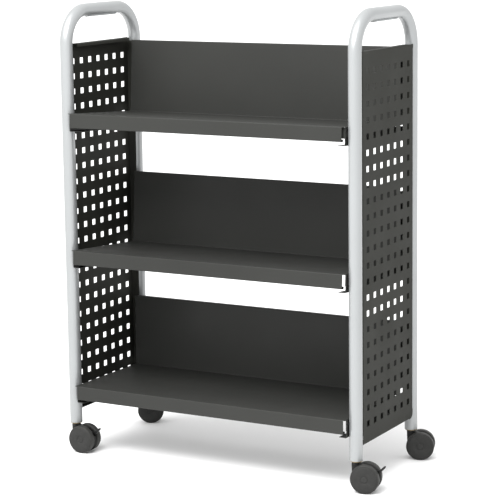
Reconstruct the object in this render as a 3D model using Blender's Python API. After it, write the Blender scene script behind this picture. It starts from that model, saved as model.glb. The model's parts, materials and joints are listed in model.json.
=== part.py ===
"""Three-shelf book cart.

Two tube frames carry perforated side panels, three bent-sheet shelves and four twin-wheel casters.
X runs along the shelves, Y from front to back and Z up. The wheels stand on Z = 0.
"""

import math

import bmesh
import bpy
from mathutils import Matrix, Vector

# Tube frames
TUBE_RADIUS = 0.0159
TUBE_WALL = 0.0016
TUBE_SPACING_X = 0.7946
TUBE_SPACING_Y = 0.3167
TUBE_FOOT = 0.0758
HANDLE_TOP = 1.138
BEND_RADIUS = 0.084
BEND_STEPS = 8
TUBE_SIDES = 16

# Strip under each handle
STRIP_LENGTH = 0.130
STRIP_THICKNESS = 0.002
STRIP_HALF_ANGLE = math.radians(36)
STRIP_STEPS = 4

# Sheet metal
SHEET = 0.0012
GAP = 0.0003
SMOOTH_ANGLE = math.radians(35)

# Side panels
PANEL_FACE_X = 0.409
HOLE_PITCH = 0.0381
HOLE_SIZE = 0.0147
HOLE_COLUMNS = 7
HOLE_ROWS = 23
TOP_ROW_HEIGHT = 0.9949
PANEL_TOP_MARGIN = 0.0451
PANEL_BOTTOM_MARGIN = 0.0475
PANEL_FLANGE = 0.020
PANEL_HEM = 0.008
PANEL_CORNER_RELIEF = 0.009
PANEL_CORNER_RADIUS = 0.014

# Shelves
SHELF_NAMES = ("top", "middle", "bottom")
LIP_TOP_HEIGHTS = (0.8709, 0.5259, 0.1762)
SHELF_TILTS = (math.radians(4.0), math.radians(4.0), math.radians(0.5))
LIP_FACE_Y = -0.1836
LIP_HALF_LENGTH = 0.3753
LIP_HEIGHT = 0.0355
LIP_RETURN = 0.010
LIP_UPTURN = 0.006
FLOOR_DEPTH = 0.290
BACK_HEIGHT = 0.1845
BACK_HEM_DEPTH = 0.012
BACK_HEM_DROP = 0.008
END_PLATE_HEIGHT = 0.0435
END_PLATE_REACH = 0.352
BACK_FLANGE_REACH = 0.330
END_RETURN = 0.020
BEND_RELIEF = 0.009
FRONT_TAB_WIDTH = 0.012
FRONT_TAB_TOP = -0.0045
FRONT_TAB_FOOT = -0.0278

# Screws
SCREW_RADIUS = 0.003
SCREW_HOLE_RADIUS = 0.0034
SCREW_HEAD_RADIUS = 0.0055
SCREW_HEAD_HEIGHT = 0.003
SCREW_REACH = 0.0075
SCREW_SIDES = 8
SHELF_SCREW_DROP = 0.020
DRILL_OVERSHOOT = 0.002
DRILL_RUN_IN = 0.004

# Casters
WHEEL_RADIUS = 0.035
WHEEL_OUTER_FACE = 0.024
WHEEL_INNER_FACE = 0.0075
WHEEL_SIDES = 28
CASTER_TRAIL = 0.0245
CASTER_TURNS = {
    "front_left": math.radians(0.5),
    "front_right": math.radians(12),
    "rear_left": math.radians(28),
    "rear_right": math.radians(19),
}
AXLE_RADIUS = 0.003
AXLE_SIDES = 12
RUNNING_GAP = 0.0001
AXLE_HALF_LENGTH = 0.0205
AXLE_POCKET = 0.021
HOOD_RADIUS = 0.031
HOOD_HALF_WIDTH = 0.0065
NECK_RADIUS = 0.0094
NECK_TOP = 0.0723
NECK_FULL_FROM = 0.066
COLUMN_FOOT = 0.041
COLUMN_INSET = 0.0003
COLUMN_OVERLAP = 0.002
STEM_RADIUS = 0.0055
STEM_PIN_RADIUS = 0.004
STEM_BOTTOM = 0.046
STEM_TOP = 0.103
SOCKET_TOP = 0.105
SOCKET_FLANGE_RADIUS = 0.0157
SOCKET_FLANGE_BOTTOM = 0.0726

# Brake levers, in the caster's own frame: distance behind the swivel axis, and height
LEVER_PIVOT = (0.0450, 0.0493)
LEVER_KNEE = (0.0585, 0.0525)
LEVER_TIP = (0.0698, 0.0640)
LEVER_HALF_WIDTH = 0.0034
LEVER_THICKNESS = 0.0058
LEVER_BOSS_RADIUS = 0.0046
LEVER_BOSS_INSET = 0.0002
LEVER_TAPER = 0.8
LEVER_SLOT_HALF_WIDTH = 0.0038
LEVER_SLOT_CORNER = 0.0065
LEVER_SLOT_LENGTH = 0.040
LEVER_PIN_RADIUS = 0.0015
LEVER_PIN_HALF_LENGTH = 0.0060

SIDES = {"left": -1, "right": 1}
FRONT_CORNERS = ("front_left", "front_right")


def make_material(name, colour, roughness, metallic):
    material = bpy.data.materials.new(name)
    material.use_nodes = True
    shader = material.node_tree.nodes["Principled BSDF"]
    shader.inputs["Base Color"].default_value = (*colour, 1.0)
    shader.inputs["Roughness"].default_value = roughness
    shader.inputs["Metallic"].default_value = metallic
    return material


def clear_scene():
    for thing in list(bpy.data.objects):
        bpy.data.objects.remove(thing, do_unlink=True)


def add_object(name, mesh, material):
    mesh.materials.clear()
    mesh.materials.append(material)
    thing = bpy.data.objects.new(name, mesh)
    bpy.context.scene.collection.objects.link(thing)
    return thing


def mesh_from_bmesh(name, bm, smooth_angle=None, recalculate=True):
    if recalculate:
        bmesh.ops.recalc_face_normals(bm, faces=bm.faces)
    mesh = bpy.data.meshes.new(name)
    bm.to_mesh(mesh)
    bm.free()
    if smooth_angle is not None:
        mesh.shade_smooth()
        mesh.set_sharp_from_angle(angle=smooth_angle)
    return mesh


def evaluated_mesh(thing):
    """The object's mesh with its modifiers applied."""
    graph = bpy.context.evaluated_depsgraph_get()
    return bpy.data.meshes.new_from_object(thing.evaluated_get(graph))


def boolean_mesh(mesh, steps):
    """Apply (operation, mesh) steps to a mesh in order and return the result."""
    body = bpy.data.objects.new("body", mesh)
    bpy.context.scene.collection.objects.link(body)
    helpers = []
    for operation, tool_mesh in steps:
        tool = bpy.data.objects.new("tool", tool_mesh)
        bpy.context.scene.collection.objects.link(tool)
        helpers.append(tool)
        modifier = body.modifiers.new(operation.lower(), "BOOLEAN")
        modifier.operation = operation
        modifier.solver = "EXACT"
        modifier.object = tool
    result = evaluated_mesh(body)
    for helper in helpers + [body]:
        bpy.data.objects.remove(helper, do_unlink=True)
    result.shade_smooth()
    result.set_sharp_from_angle(angle=SMOOTH_ANGLE)
    return result


def prism_mesh(name, outline, half_width):
    """Extrude an (x, z) outline along Y, from -half_width to +half_width."""
    bm = bmesh.new()
    face = bm.faces.new([bm.verts.new((x, -half_width, z)) for x, z in outline])
    moved = bmesh.ops.extrude_face_region(bm, geom=[face])["geom"]
    verts = [item for item in moved if isinstance(item, bmesh.types.BMVert)]
    bmesh.ops.translate(bm, verts=verts, vec=(0, 2 * half_width, 0))
    return mesh_from_bmesh(name, bm)


def turned_mesh(name, profile, sides, turn=None):
    """Spin an (r, z) profile round Z. Points at r = 0 become poles. turn places the result."""
    bm = bmesh.new()
    rings = []
    for radius, height in profile:
        if radius == 0:
            rings.append([bm.verts.new((0, 0, height))])
        else:
            angles = [2 * math.pi * step / sides for step in range(sides)]
            rings.append([bm.verts.new((radius * math.cos(a), radius * math.sin(a), height)) for a in angles])
    pairs = list(zip(rings, rings[1:]))
    if len(rings[0]) > 1:
        pairs.append((rings[-1], rings[0]))
    for low, high in pairs:
        for step in range(sides):
            after = (step + 1) % sides
            corners = [low[step % len(low)], low[after % len(low)], high[after % len(high)], high[step % len(high)]]
            bm.faces.new(list(dict.fromkeys(corners)))
    if turn is not None:
        bmesh.ops.transform(bm, matrix=turn, verts=bm.verts)
    return mesh_from_bmesh(name, bm, smooth_angle=SMOOTH_ANGLE)


def join_drills(meshes):
    """Put several drills that don't touch in one mesh, to cut with at once."""
    bm = bmesh.new()
    for mesh in meshes:
        bm.from_mesh(mesh)
    return mesh_from_bmesh("drills", bm, recalculate=False)


def rod_mesh(name, start, end, radius, sides):
    """A plain round rod between two points, with a flat and not a corner towards each axis."""
    start = Vector(start)
    along = Vector(end) - start
    turn = Matrix.Translation(start) @ along.to_track_quat("Z", "Y").to_matrix().to_4x4()
    turn = turn @ Matrix.Rotation(math.pi / sides, 4, "Z")
    profile = [(0, 0), (radius, 0), (radius, along.length), (0, along.length)]
    return turned_mesh(name, profile, sides, turn)


def sheet_mesh(name, faces):
    """Thicken bent faces that share their corners. The faces' front sides stay where they are."""
    bm = bmesh.new()
    known = {}
    for corners in faces:
        ring = []
        for corner in corners:
            key = tuple(round(value, 6) for value in corner)
            if key not in known:
                known[key] = bm.verts.new(corner)
            ring.append(known[key])
        bm.faces.new(ring)
    thing = bpy.data.objects.new(name, mesh_from_bmesh(name, bm, recalculate=False))
    bpy.context.scene.collection.objects.link(thing)
    solidify = thing.modifiers.new("thickness", "SOLIDIFY")
    solidify.thickness = SHEET
    solidify.offset = -1
    solidify.use_even_offset = True
    solidify.use_quality_normals = True
    result = evaluated_mesh(thing)
    bpy.data.objects.remove(thing, do_unlink=True)
    return result


# Tube frames ------------------------------------------------------------------------------------

def tube_path():
    """Stations (y, z, slope) along an upside-down U, slope being the path's angle from +Y."""
    half = TUBE_SPACING_Y / 2
    axis_top = HANDLE_TOP - TUBE_RADIUS
    bend_z = axis_top - BEND_RADIUS
    stations = [(-half, TUBE_FOOT, math.pi / 2)]
    for step in range(BEND_STEPS + 1):
        slope = math.pi / 2 * (1 - step / BEND_STEPS)
        y = -half + BEND_RADIUS * (1 - math.sin(slope))
        z = bend_z + BEND_RADIUS * math.cos(slope)
        stations.append((y, z, slope))
    mirrored = [(-y, z, -slope) for y, z, slope in reversed(stations)]
    return stations + mirrored


def tube_rings(bm, x, radius):
    rings = []
    for y, z, slope in tube_path():
        across = Vector((0, -math.sin(slope), math.cos(slope)))
        ring = []
        for step in range(TUBE_SIDES):
            angle = 2 * math.pi * step / TUBE_SIDES
            offset = Vector((1, 0, 0)) * math.cos(angle) + across * math.sin(angle)
            ring.append(bm.verts.new(Vector((x, y, z)) + radius * offset))
        rings.append(ring)
    return rings


def tube_screw_holes(side):
    """Drills for the shelf screws, through the wall that faces the shelves."""
    drills = []
    inner = side * (TUBE_SPACING_X / 2 - TUBE_RADIUS - DRILL_OVERSHOOT)
    outer = side * (TUBE_SPACING_X / 2 - TUBE_RADIUS + SCREW_REACH)
    for index in range(len(SHELF_NAMES)):
        for place in shelf_screws_in_shelf(index).values():
            point = shelf_matrix(index) @ Vector((0, *place))
            start = (inner, point.y, point.z)
            end = (outer, point.y, point.z)
            drills.append(rod_mesh("drill", start, end, SCREW_HOLE_RADIUS, SCREW_SIDES))
    return join_drills(drills)


def build_tube(name, side, material):
    bm = bmesh.new()
    x = side * TUBE_SPACING_X / 2
    outer = tube_rings(bm, x, TUBE_RADIUS)
    inner = tube_rings(bm, x, TUBE_RADIUS - TUBE_WALL)
    for rings in (outer, inner):
        for low, high in zip(rings, rings[1:]):
            for step in range(TUBE_SIDES):
                after = (step + 1) % TUBE_SIDES
                bm.faces.new((low[step], low[after], high[after], high[step]))
    for end in (0, -1):
        for step in range(TUBE_SIDES):
            after = (step + 1) % TUBE_SIDES
            bm.faces.new((outer[end][step], outer[end][after], inner[end][after], inner[end][step]))
    mesh = mesh_from_bmesh(name, bm)
    mesh = boolean_mesh(mesh, [("DIFFERENCE", tube_screw_holes(side))])
    return add_object(name, mesh, material)


def build_strip(name, side, material):
    """A thin strip that follows the underside of the handle."""
    bm = bmesh.new()
    x = side * TUBE_SPACING_X / 2
    z = HANDLE_TOP - TUBE_RADIUS
    inner = TUBE_RADIUS + GAP
    outer = inner + STRIP_THICKNESS
    outline = []
    for radius, order in ((inner, range(STRIP_STEPS + 1)), (outer, reversed(range(STRIP_STEPS + 1)))):
        for step in order:
            angle = STRIP_HALF_ANGLE * (2 * step / STRIP_STEPS - 1)
            outline.append((x + radius * math.sin(angle), z - radius * math.cos(angle)))
    front = [bm.verts.new((px, -STRIP_LENGTH / 2, pz)) for px, pz in outline]
    back = [bm.verts.new((px, STRIP_LENGTH / 2, pz)) for px, pz in outline]
    count = len(outline)
    for step in range(count):
        after = (step + 1) % count
        bm.faces.new((front[step], front[after], back[after], back[step]))
    for row in (front, back):
        for step in range(STRIP_STEPS):
            bm.faces.new((row[step], row[step + 1], row[count - 2 - step], row[count - 1 - step]))
    return add_object(name, mesh_from_bmesh(name, bm), material)


# Side panels ------------------------------------------------------------------------------------

def panel_bottom():
    return TOP_ROW_HEIGHT - (HOLE_ROWS - 1) * HOLE_PITCH - PANEL_BOTTOM_MARGIN


def hole_edges(centres):
    return [centre + sign * HOLE_SIZE / 2 for centre in centres for sign in (-1, 1)]


def panel_faces(side):
    """The panel as bent faces: perforated front, side and bottom flanges, a top flange and its hem."""
    half = TUBE_SPACING_Y / 2 - TUBE_RADIUS - GAP
    bottom = panel_bottom()
    top = TOP_ROW_HEIGHT + PANEL_TOP_MARGIN
    columns = [(index - (HOLE_COLUMNS - 1) / 2) * HOLE_PITCH for index in range(HOLE_COLUMNS)]
    rows = [TOP_ROW_HEIGHT - index * HOLE_PITCH for index in reversed(range(HOLE_ROWS))]
    relief = top - PANEL_CORNER_RELIEF
    flange_foot = bottom + PANEL_CORNER_RADIUS + PANEL_CORNER_RELIEF
    ys = [-half] + hole_edges(columns) + [half]
    zs = [bottom, flange_foot] + hole_edges(rows) + [relief, top]
    x = side * PANEL_FACE_X
    inner_x = side * (PANEL_FACE_X - PANEL_FLANGE)
    faces = []
    for i, (y0, y1) in enumerate(zip(ys, ys[1:])):
        for j, (z0, z1) in enumerate(zip(zs, zs[1:])):
            is_hole = i % 2 == 1 and j % 2 == 0 and 0 < j < len(zs) - 3
            if is_hole:
                continue
            corners = [(x, y0, z0), (x, y1, z0), (x, y1, z1), (x, y0, z1)]
            if i == len(ys) - 2 and j == 0:
                corners[1:2] = [
                    (
                        x,
                        y1 - PANEL_CORNER_RADIUS * (1 - math.sin(math.radians(angle))),
                        z0 + PANEL_CORNER_RADIUS * (1 - math.cos(math.radians(angle))),
                    )
                    for angle in (0, 30, 60, 90)
                ]
            faces.append(corners)
    for j, (z0, z1) in enumerate(zip(zs, zs[1:])):
        if 0 < j < len(zs) - 2:
            faces.append([(inner_x, -half, z0), (x, -half, z0), (x, -half, z1), (inner_x, -half, z1)])
            faces.append([(x, half, z0), (inner_x, half, z0), (inner_x, half, z1), (x, half, z1)])
    for y0, y1 in list(zip(ys, ys[1:]))[:-1]:
        faces.append([(inner_x, y0, bottom), (inner_x, y1, bottom), (x, y1, bottom), (x, y0, bottom)])
    hem = top - PANEL_HEM
    for y0, y1 in list(zip(ys, ys[1:]))[1:-1]:
        faces.append([(x, y0, top), (x, y1, top), (inner_x, y1, top), (inner_x, y0, top)])
        faces.append([(inner_x, y0, top), (inner_x, y1, top), (inner_x, y1, hem), (inner_x, y0, hem)])
    if side < 0:
        faces = [list(reversed(corners)) for corners in faces]
    return faces


def build_panel(name, side, material):
    return add_object(name, sheet_mesh(name, panel_faces(side)), material)


# Shelves ----------------------------------------------------------------------------------------

def end_plate_x():
    return TUBE_SPACING_X / 2 - TUBE_RADIUS - GAP


def shelf_matrix(index):
    """From the shelf's own frame, with its origin at the lip's top front edge, to the cart's frame."""
    origin = Vector((0, LIP_FACE_Y, LIP_TOP_HEIGHTS[index]))
    return Matrix.Translation(origin) @ Matrix.Rotation(-SHELF_TILTS[index], 4, "X")


def shelf_screws_in_shelf(index):
    """(y, z) of the screws at one end, in the shelf's own frame, on the tubes' centre planes."""
    tilt = SHELF_TILTS[index]
    z = -SHELF_SCREW_DROP
    places = {}
    for leg, leg_y in (("front", -TUBE_SPACING_Y / 2), ("rear", TUBE_SPACING_Y / 2)):
        y = (leg_y - LIP_FACE_Y - z * math.sin(tilt)) / math.cos(tilt)
        places[leg] = (y, z)
    return places


def shelf_faces():
    """One bent sheet: rolled lip, floor, back with its hem, and end plates with returns."""
    end = end_plate_x()
    lip = LIP_HALF_LENGTH
    floor_y = [0, BEND_RELIEF, FLOOR_DEPTH - BEND_RELIEF, FLOOR_DEPTH]
    back_z = [0, BEND_RELIEF, BACK_HEIGHT - BEND_RELIEF, BACK_HEIGHT]
    floor = [(-end, 0, 0), (-lip, 0, 0), (lip, 0, 0)]
    floor += [(end, y, 0) for y in floor_y]
    floor += [(-end, y, 0) for y in reversed(floor_y[1:])]
    back = [(-end, FLOOR_DEPTH, 0)]
    back += [(end, FLOOR_DEPTH, z) for z in back_z]
    back += [(-end, FLOOR_DEPTH, z) for z in reversed(back_z[1:])]
    low = -LIP_HEIGHT
    hem_y = FLOOR_DEPTH + BACK_HEM_DEPTH
    hem_z = BACK_HEIGHT - BACK_HEM_DROP
    turn = LIP_RETURN
    faces = [
        floor,
        back,
        [(-lip, 0, low), (lip, 0, low), (lip, 0, 0), (-lip, 0, 0)],
        [(-lip, turn, low), (lip, turn, low), (lip, 0, low), (-lip, 0, low)],
        [(-lip, turn, low + LIP_UPTURN), (lip, turn, low + LIP_UPTURN), (lip, turn, low), (-lip, turn, low)],
        [(-end, FLOOR_DEPTH, BACK_HEIGHT), (end, FLOOR_DEPTH, BACK_HEIGHT), (end, hem_y, BACK_HEIGHT),
         (-end, hem_y, BACK_HEIGHT)],
        [(-end, hem_y, BACK_HEIGHT), (end, hem_y, BACK_HEIGHT), (end, hem_y, hem_z), (-end, hem_y, hem_z)],
    ]
    for side in (-1, 1):
        faces += end_plate_faces(side, end)
    return faces


def end_plate_faces(side, end):
    """The end plate below the floor with its front tab and return, and the flange behind the back."""
    x = side * end
    inner = side * (end - END_RETURN)
    foot = -END_PLATE_HEIGHT
    start = BEND_RELIEF
    stop = FLOOR_DEPTH - BEND_RELIEF
    step = -BEND_RELIEF
    tab_top = FRONT_TAB_TOP
    tab_foot = FRONT_TAB_FOOT
    tab_x = side * (end - FRONT_TAB_WIDTH)
    levels = [0, tab_top, step, tab_foot, foot]
    plate = [[(x, start, z1), (x, start, z0), (x, stop, z0), (x, stop, z1)] for z0, z1 in zip(levels[1:], levels)]
    far = END_PLATE_REACH
    tail = [[(x, stop, z1), (x, stop, z0), (x, far, z0), (x, far, z1)] for z0, z1 in zip(levels[3:], levels[2:])]
    tab = [
        (x, start, tab_top), (tab_x, start, tab_top), (tab_x, start, tab_foot), (x, start, tab_foot), (x, start, step),
    ]
    shelf_return = [(x, start, foot), (inner, start, foot), (inner, stop, foot), (x, stop, foot)]
    low = BEND_RELIEF
    high = BACK_HEIGHT - BEND_RELIEF
    reach = BACK_FLANGE_REACH
    flange = [(x, FLOOR_DEPTH, low), (x, reach, low), (x, reach, high), (x, FLOOR_DEPTH, high)]
    faces = plate + tail + [tab, shelf_return, flange]
    if side < 0:
        faces = [list(reversed(corners)) for corners in faces]
    return faces


def build_shelf(name, index, material):
    mesh = sheet_mesh(name, shelf_faces())
    cuts = []
    for side in (-1, 1):
        for y, z in shelf_screws_in_shelf(index).values():
            near = side * (end_plate_x() - DRILL_RUN_IN)
            far = side * (end_plate_x() + DRILL_OVERSHOOT)
            drill = rod_mesh("drill", (near, y, z), (far, y, z), SCREW_HOLE_RADIUS, SCREW_SIDES)
            cuts.append(("DIFFERENCE", drill))
    mesh = boolean_mesh(mesh, cuts)
    shelf = add_object(name, mesh, material)
    shelf.matrix_world = shelf_matrix(index)
    return shelf


# Screws -----------------------------------------------------------------------------------------

def screw_mesh(head_seat, direction):
    """A button-head screw whose head sits on head_seat and whose shank points along direction."""
    profile = [
        (0, -SCREW_HEAD_HEIGHT),
        (SCREW_HEAD_RADIUS * 0.7, -SCREW_HEAD_HEIGHT),
        (SCREW_HEAD_RADIUS, -SCREW_HEAD_HEIGHT * 0.3),
        (SCREW_HEAD_RADIUS, 0),
        (SCREW_RADIUS, 0),
        (SCREW_RADIUS, SCREW_REACH),
        (0, SCREW_REACH),
    ]
    turn = Matrix.Translation(head_seat) @ Vector(direction).to_track_quat("Z", "Y").to_matrix().to_4x4()
    return turned_mesh("screw", profile, SCREW_SIDES, turn)


def build_shelf_screws(shelf_name, index, material):
    for side_name, side in SIDES.items():
        seat_x = side * (end_plate_x() - SHEET - GAP)
        for leg, place in shelf_screws_in_shelf(index).items():
            seat = shelf_matrix(index) @ Vector((seat_x, *place))
            mesh = screw_mesh(seat, (side, 0, 0))
            add_object(f"shelf_screw_{shelf_name}_{side_name}_{leg}", mesh, material)


# Casters: built round a swivel axis on Z, with the wheels behind it on +X ------------------------

def socket_mesh():
    sleeve = TUBE_RADIUS - TUBE_WALL - GAP
    bore = STEM_RADIUS + RUNNING_GAP
    flange_top = TUBE_FOOT - GAP
    profile = [
        (bore, SOCKET_FLANGE_BOTTOM),
        (SOCKET_FLANGE_RADIUS * 0.8, SOCKET_FLANGE_BOTTOM),
        (SOCKET_FLANGE_RADIUS, flange_top - 0.001),
        (SOCKET_FLANGE_RADIUS, flange_top),
        (sleeve, flange_top),
        (sleeve, SOCKET_TOP),
        (bore, SOCKET_TOP),
    ]
    return turned_mesh("socket", profile, TUBE_SIDES)


def stem_mesh():
    shoulder = SOCKET_FLANGE_BOTTOM + GAP
    profile = [
        (0, STEM_BOTTOM),
        (STEM_PIN_RADIUS, STEM_BOTTOM),
        (STEM_PIN_RADIUS, shoulder),
        (STEM_RADIUS, shoulder),
        (STEM_RADIUS, STEM_TOP),
        (0, STEM_TOP),
    ]
    return turned_mesh("stem", profile, TUBE_SIDES)


def along_axle(x, z):
    """Turns a shape built round Z onto the Y axis at (x, z)."""
    return Matrix.Translation((x, 0, z)) @ Matrix.Rotation(-math.pi / 2, 4, "X")


def wheel_mesh(facing):
    """One wheel. facing is -1 for the wheel at the front of its caster and +1 for the other."""
    bore = AXLE_RADIUS + RUNNING_GAP
    profile = [
        (0, WHEEL_OUTER_FACE),
        (WHEEL_RADIUS - 0.003, WHEEL_OUTER_FACE),
        (WHEEL_RADIUS, WHEEL_OUTER_FACE - 0.0025),
        (WHEEL_RADIUS, WHEEL_INNER_FACE + 0.0015),
        (WHEEL_RADIUS - 0.0015, WHEEL_INNER_FACE),
        (bore, WHEEL_INNER_FACE),
        (bore, AXLE_POCKET),
        (0, AXLE_POCKET),
    ]
    flipped = [(radius, facing * height) for radius, height in profile]
    return turned_mesh("wheel", flipped, WHEEL_SIDES, along_axle(0, 0))


def hood_mesh(has_brake):
    """The caster's body: a web between the wheels and a neck that turns on the stem."""
    web = turned_mesh(
        "web",
        [(0, -HOOD_HALF_WIDTH), (HOOD_RADIUS, -HOOD_HALF_WIDTH), (HOOD_RADIUS, HOOD_HALF_WIDTH), (0, HOOD_HALF_WIDTH)],
        WHEEL_SIDES,
        along_axle(CASTER_TRAIL, WHEEL_RADIUS),
    )
    column_half = NECK_RADIUS - COLUMN_INSET
    column_top = NECK_FULL_FROM + COLUMN_OVERLAP
    column = prism_mesh(
        "column",
        [(-column_half, COLUMN_FOOT), (column_half, COLUMN_FOOT), (column_half, column_top), (-column_half, column_top)],
        HOOD_HALF_WIDTH - COLUMN_INSET,
    )
    neck = turned_mesh(
        "neck",
        [(0, NECK_FULL_FROM), (NECK_RADIUS, NECK_FULL_FROM), (NECK_RADIUS, NECK_TOP), (0, NECK_TOP)],
        TUBE_SIDES,
    )
    stem_bore = rod_mesh(
        "bore",
        (0, 0, STEM_BOTTOM - DRILL_OVERSHOOT),
        (0, 0, NECK_TOP + DRILL_OVERSHOOT),
        STEM_PIN_RADIUS + 2 * RUNNING_GAP,
        TUBE_SIDES,
    )
    axle_bore = rod_mesh(
        "bore",
        (CASTER_TRAIL, -2 * HOOD_HALF_WIDTH, WHEEL_RADIUS),
        (CASTER_TRAIL, 2 * HOOD_HALF_WIDTH, WHEEL_RADIUS),
        AXLE_RADIUS + GAP,
        AXLE_SIDES,
    )
    steps = [("UNION", column), ("UNION", neck), ("DIFFERENCE", stem_bore), ("DIFFERENCE", axle_bore)]
    if has_brake:
        pivot_x, pivot_z = LEVER_PIVOT
        low_x = pivot_x - LEVER_SLOT_CORNER
        low_z = pivot_z - LEVER_SLOT_CORNER
        high_x = low_x + LEVER_SLOT_LENGTH
        high_z = low_z + LEVER_SLOT_LENGTH
        slot = prism_mesh(
            "slot",
            [(low_x, low_z), (high_x, low_z), (high_x, high_z), (low_x, high_z)],
            LEVER_SLOT_HALF_WIDTH,
        )
        pin_bore = rod_mesh(
            "bore",
            (pivot_x, -2 * HOOD_HALF_WIDTH, pivot_z),
            (pivot_x, 2 * HOOD_HALF_WIDTH, pivot_z),
            LEVER_PIN_RADIUS + RUNNING_GAP,
            TUBE_SIDES,
        )
        steps += [("DIFFERENCE", slot), ("DIFFERENCE", pin_bore)]
    return boolean_mesh(web, steps)


def lever_mesh():
    """A bent arm with a boss on its pivot, in the lever's own frame."""
    pivot = Vector(LEVER_PIVOT)
    path = [Vector(point) - pivot for point in (LEVER_PIVOT, LEVER_KNEE, LEVER_TIP)]
    half = LEVER_THICKNESS / 2
    first = (path[1] - path[0]).normalized()
    second = (path[2] - path[1]).normalized()
    first_across = Vector((-first.y, first.x))
    second_across = Vector((-second.y, second.x))
    mitre = (first_across + second_across).normalized()
    mitre = mitre * half / mitre.dot(first_across)
    tip_half = half * LEVER_TAPER
    upper = [path[0] + first_across * half, path[1] + mitre, path[2] + second_across * tip_half]
    lower = [path[2] - second_across * tip_half, path[1] - mitre, path[0] - first_across * half]
    nose = path[2] + second * tip_half
    arm = prism_mesh("arm", [tuple(point) for point in upper + [nose] + lower], LEVER_HALF_WIDTH)
    half_boss = LEVER_HALF_WIDTH - LEVER_BOSS_INSET
    boss = turned_mesh(
        "boss",
        [(0, -half_boss), (LEVER_BOSS_RADIUS, -half_boss), (LEVER_BOSS_RADIUS, half_boss), (0, half_boss)],
        TUBE_SIDES,
        along_axle(0, 0),
    )
    hole = rod_mesh(
        "hole", (0, -2 * LEVER_HALF_WIDTH, 0), (0, 2 * LEVER_HALF_WIDTH, 0), LEVER_PIN_RADIUS + RUNNING_GAP, TUBE_SIDES
    )
    return boolean_mesh(arm, [("UNION", boss), ("DIFFERENCE", hole)])


def corner_place(corner):
    y_name, x_name = corner.split("_")
    x = SIDES[x_name] * TUBE_SPACING_X / 2
    y = TUBE_SPACING_Y / 2 * (1 if y_name == "rear" else -1)
    return Vector((x, y, 0))


def build_casters(materials):
    socket = socket_mesh()
    stem = stem_mesh()
    hoods = {True: hood_mesh(True), False: hood_mesh(False)}
    wheels = {"near": wheel_mesh(-1), "far": wheel_mesh(1)}
    lever = lever_mesh()
    for corner, turn in CASTER_TURNS.items():
        place = corner_place(corner)
        has_brake = corner in FRONT_CORNERS
        fixed = {f"caster_socket_{corner}": (socket, "socket"), f"caster_stem_{corner}": (stem, "zinc")}
        for name, (mesh, finish) in fixed.items():
            add_object(name, mesh, materials[finish]).location = place
        swivel = bpy.data.objects.new(f"swivel_{corner}", None)
        bpy.context.scene.collection.objects.link(swivel)
        swivel.location = place
        swivel.rotation_euler = (0, 0, turn)
        hood = add_object(f"caster_hood_{corner}", hoods[has_brake], materials["hood"])
        axle_mesh = rod_mesh("axle", (0, -AXLE_HALF_LENGTH, 0), (0, AXLE_HALF_LENGTH, 0), AXLE_RADIUS, AXLE_SIDES)
        axle = add_object(f"caster_axle_{corner}", axle_mesh, materials["zinc"])
        turning = [hood, axle]
        axle.location = (CASTER_TRAIL, 0, WHEEL_RADIUS)
        for which, mesh in wheels.items():
            wheel = add_object(f"{which}_wheel_{corner}", mesh, materials["wheel"])
            wheel.location = (CASTER_TRAIL, 0, WHEEL_RADIUS)
            turning.append(wheel)
        if has_brake:
            pin_mesh = rod_mesh(
                "pin", (0, -LEVER_PIN_HALF_LENGTH, 0), (0, LEVER_PIN_HALF_LENGTH, 0), LEVER_PIN_RADIUS, TUBE_SIDES
            )
            pin = add_object(f"brake_pin_{corner}", pin_mesh, materials["zinc"])
            brake = add_object(f"brake_lever_{corner}", lever, materials["lever"])
            for piece in (pin, brake):
                piece.location = (LEVER_PIVOT[0], 0, LEVER_PIVOT[1])
                turning.append(piece)
        for piece in turning:
            piece.parent = swivel


def centre_on_origin():
    """Move the cart so that the middle of its footprint is at the origin."""
    bpy.context.view_layer.update()
    corners = []
    for thing in bpy.data.objects:
        if thing.type == "MESH":
            corners += [thing.matrix_world @ vertex.co for vertex in thing.data.vertices]
    middle = Vector(
        [(min(point[axis] for point in corners) + max(point[axis] for point in corners)) / 2 for axis in (0, 1)] + [0]
    )
    for thing in bpy.data.objects:
        if thing.parent is None:
            thing.location = thing.location - middle
    bpy.context.view_layer.update()


def build():
    clear_scene()
    materials = {
        "tube": make_material("silver_paint", (0.66, 0.68, 0.68), 0.35, 0.5),
        "panel": make_material("charcoal_powder_coat", (0.075, 0.077, 0.068), 0.5, 0.0),
        "shelf": make_material("charcoal_sheet", (0.070, 0.072, 0.066), 0.42, 0.0),
        "strip": make_material("grey_strip", (0.55, 0.57, 0.57), 0.5, 0.1),
        "zinc": make_material("zinc_plated_steel", (0.62, 0.60, 0.55), 0.35, 1.0),
        "socket": make_material("black_plug", (0.035, 0.035, 0.034), 0.5, 0.0),
        "hood": make_material("dark_grey_nylon", (0.060, 0.060, 0.058), 0.5, 0.0),
        "wheel": make_material("grey_wheel_nylon", (0.085, 0.085, 0.082), 0.45, 0.0),
        "lever": make_material("black_lever", (0.040, 0.040, 0.039), 0.5, 0.0),
    }
    for name, side in SIDES.items():
        build_tube(f"frame_tube_{name}", side, materials["tube"])
        build_strip(f"grip_strip_{name}", side, materials["strip"])
        build_panel(f"side_panel_{name}", side, materials["panel"])
    for index, name in enumerate(SHELF_NAMES):
        build_shelf(f"shelf_{name}", index, materials["shelf"])
        build_shelf_screws(name, index, materials["zinc"])
    build_casters(materials)
    centre_on_origin()


build()
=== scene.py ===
"""Looks of a three-shelf book cart, laid out as an add-on and run as a script.

Every size is in metres. X runs along the shelves, Y from the open front to the shelf backs, Z up.
"""

import json
import math

import bmesh
import bpy
from bpy.props import FloatProperty, FloatVectorProperty, IntProperty, PointerProperty
from mathutils import Matrix, Vector


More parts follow.
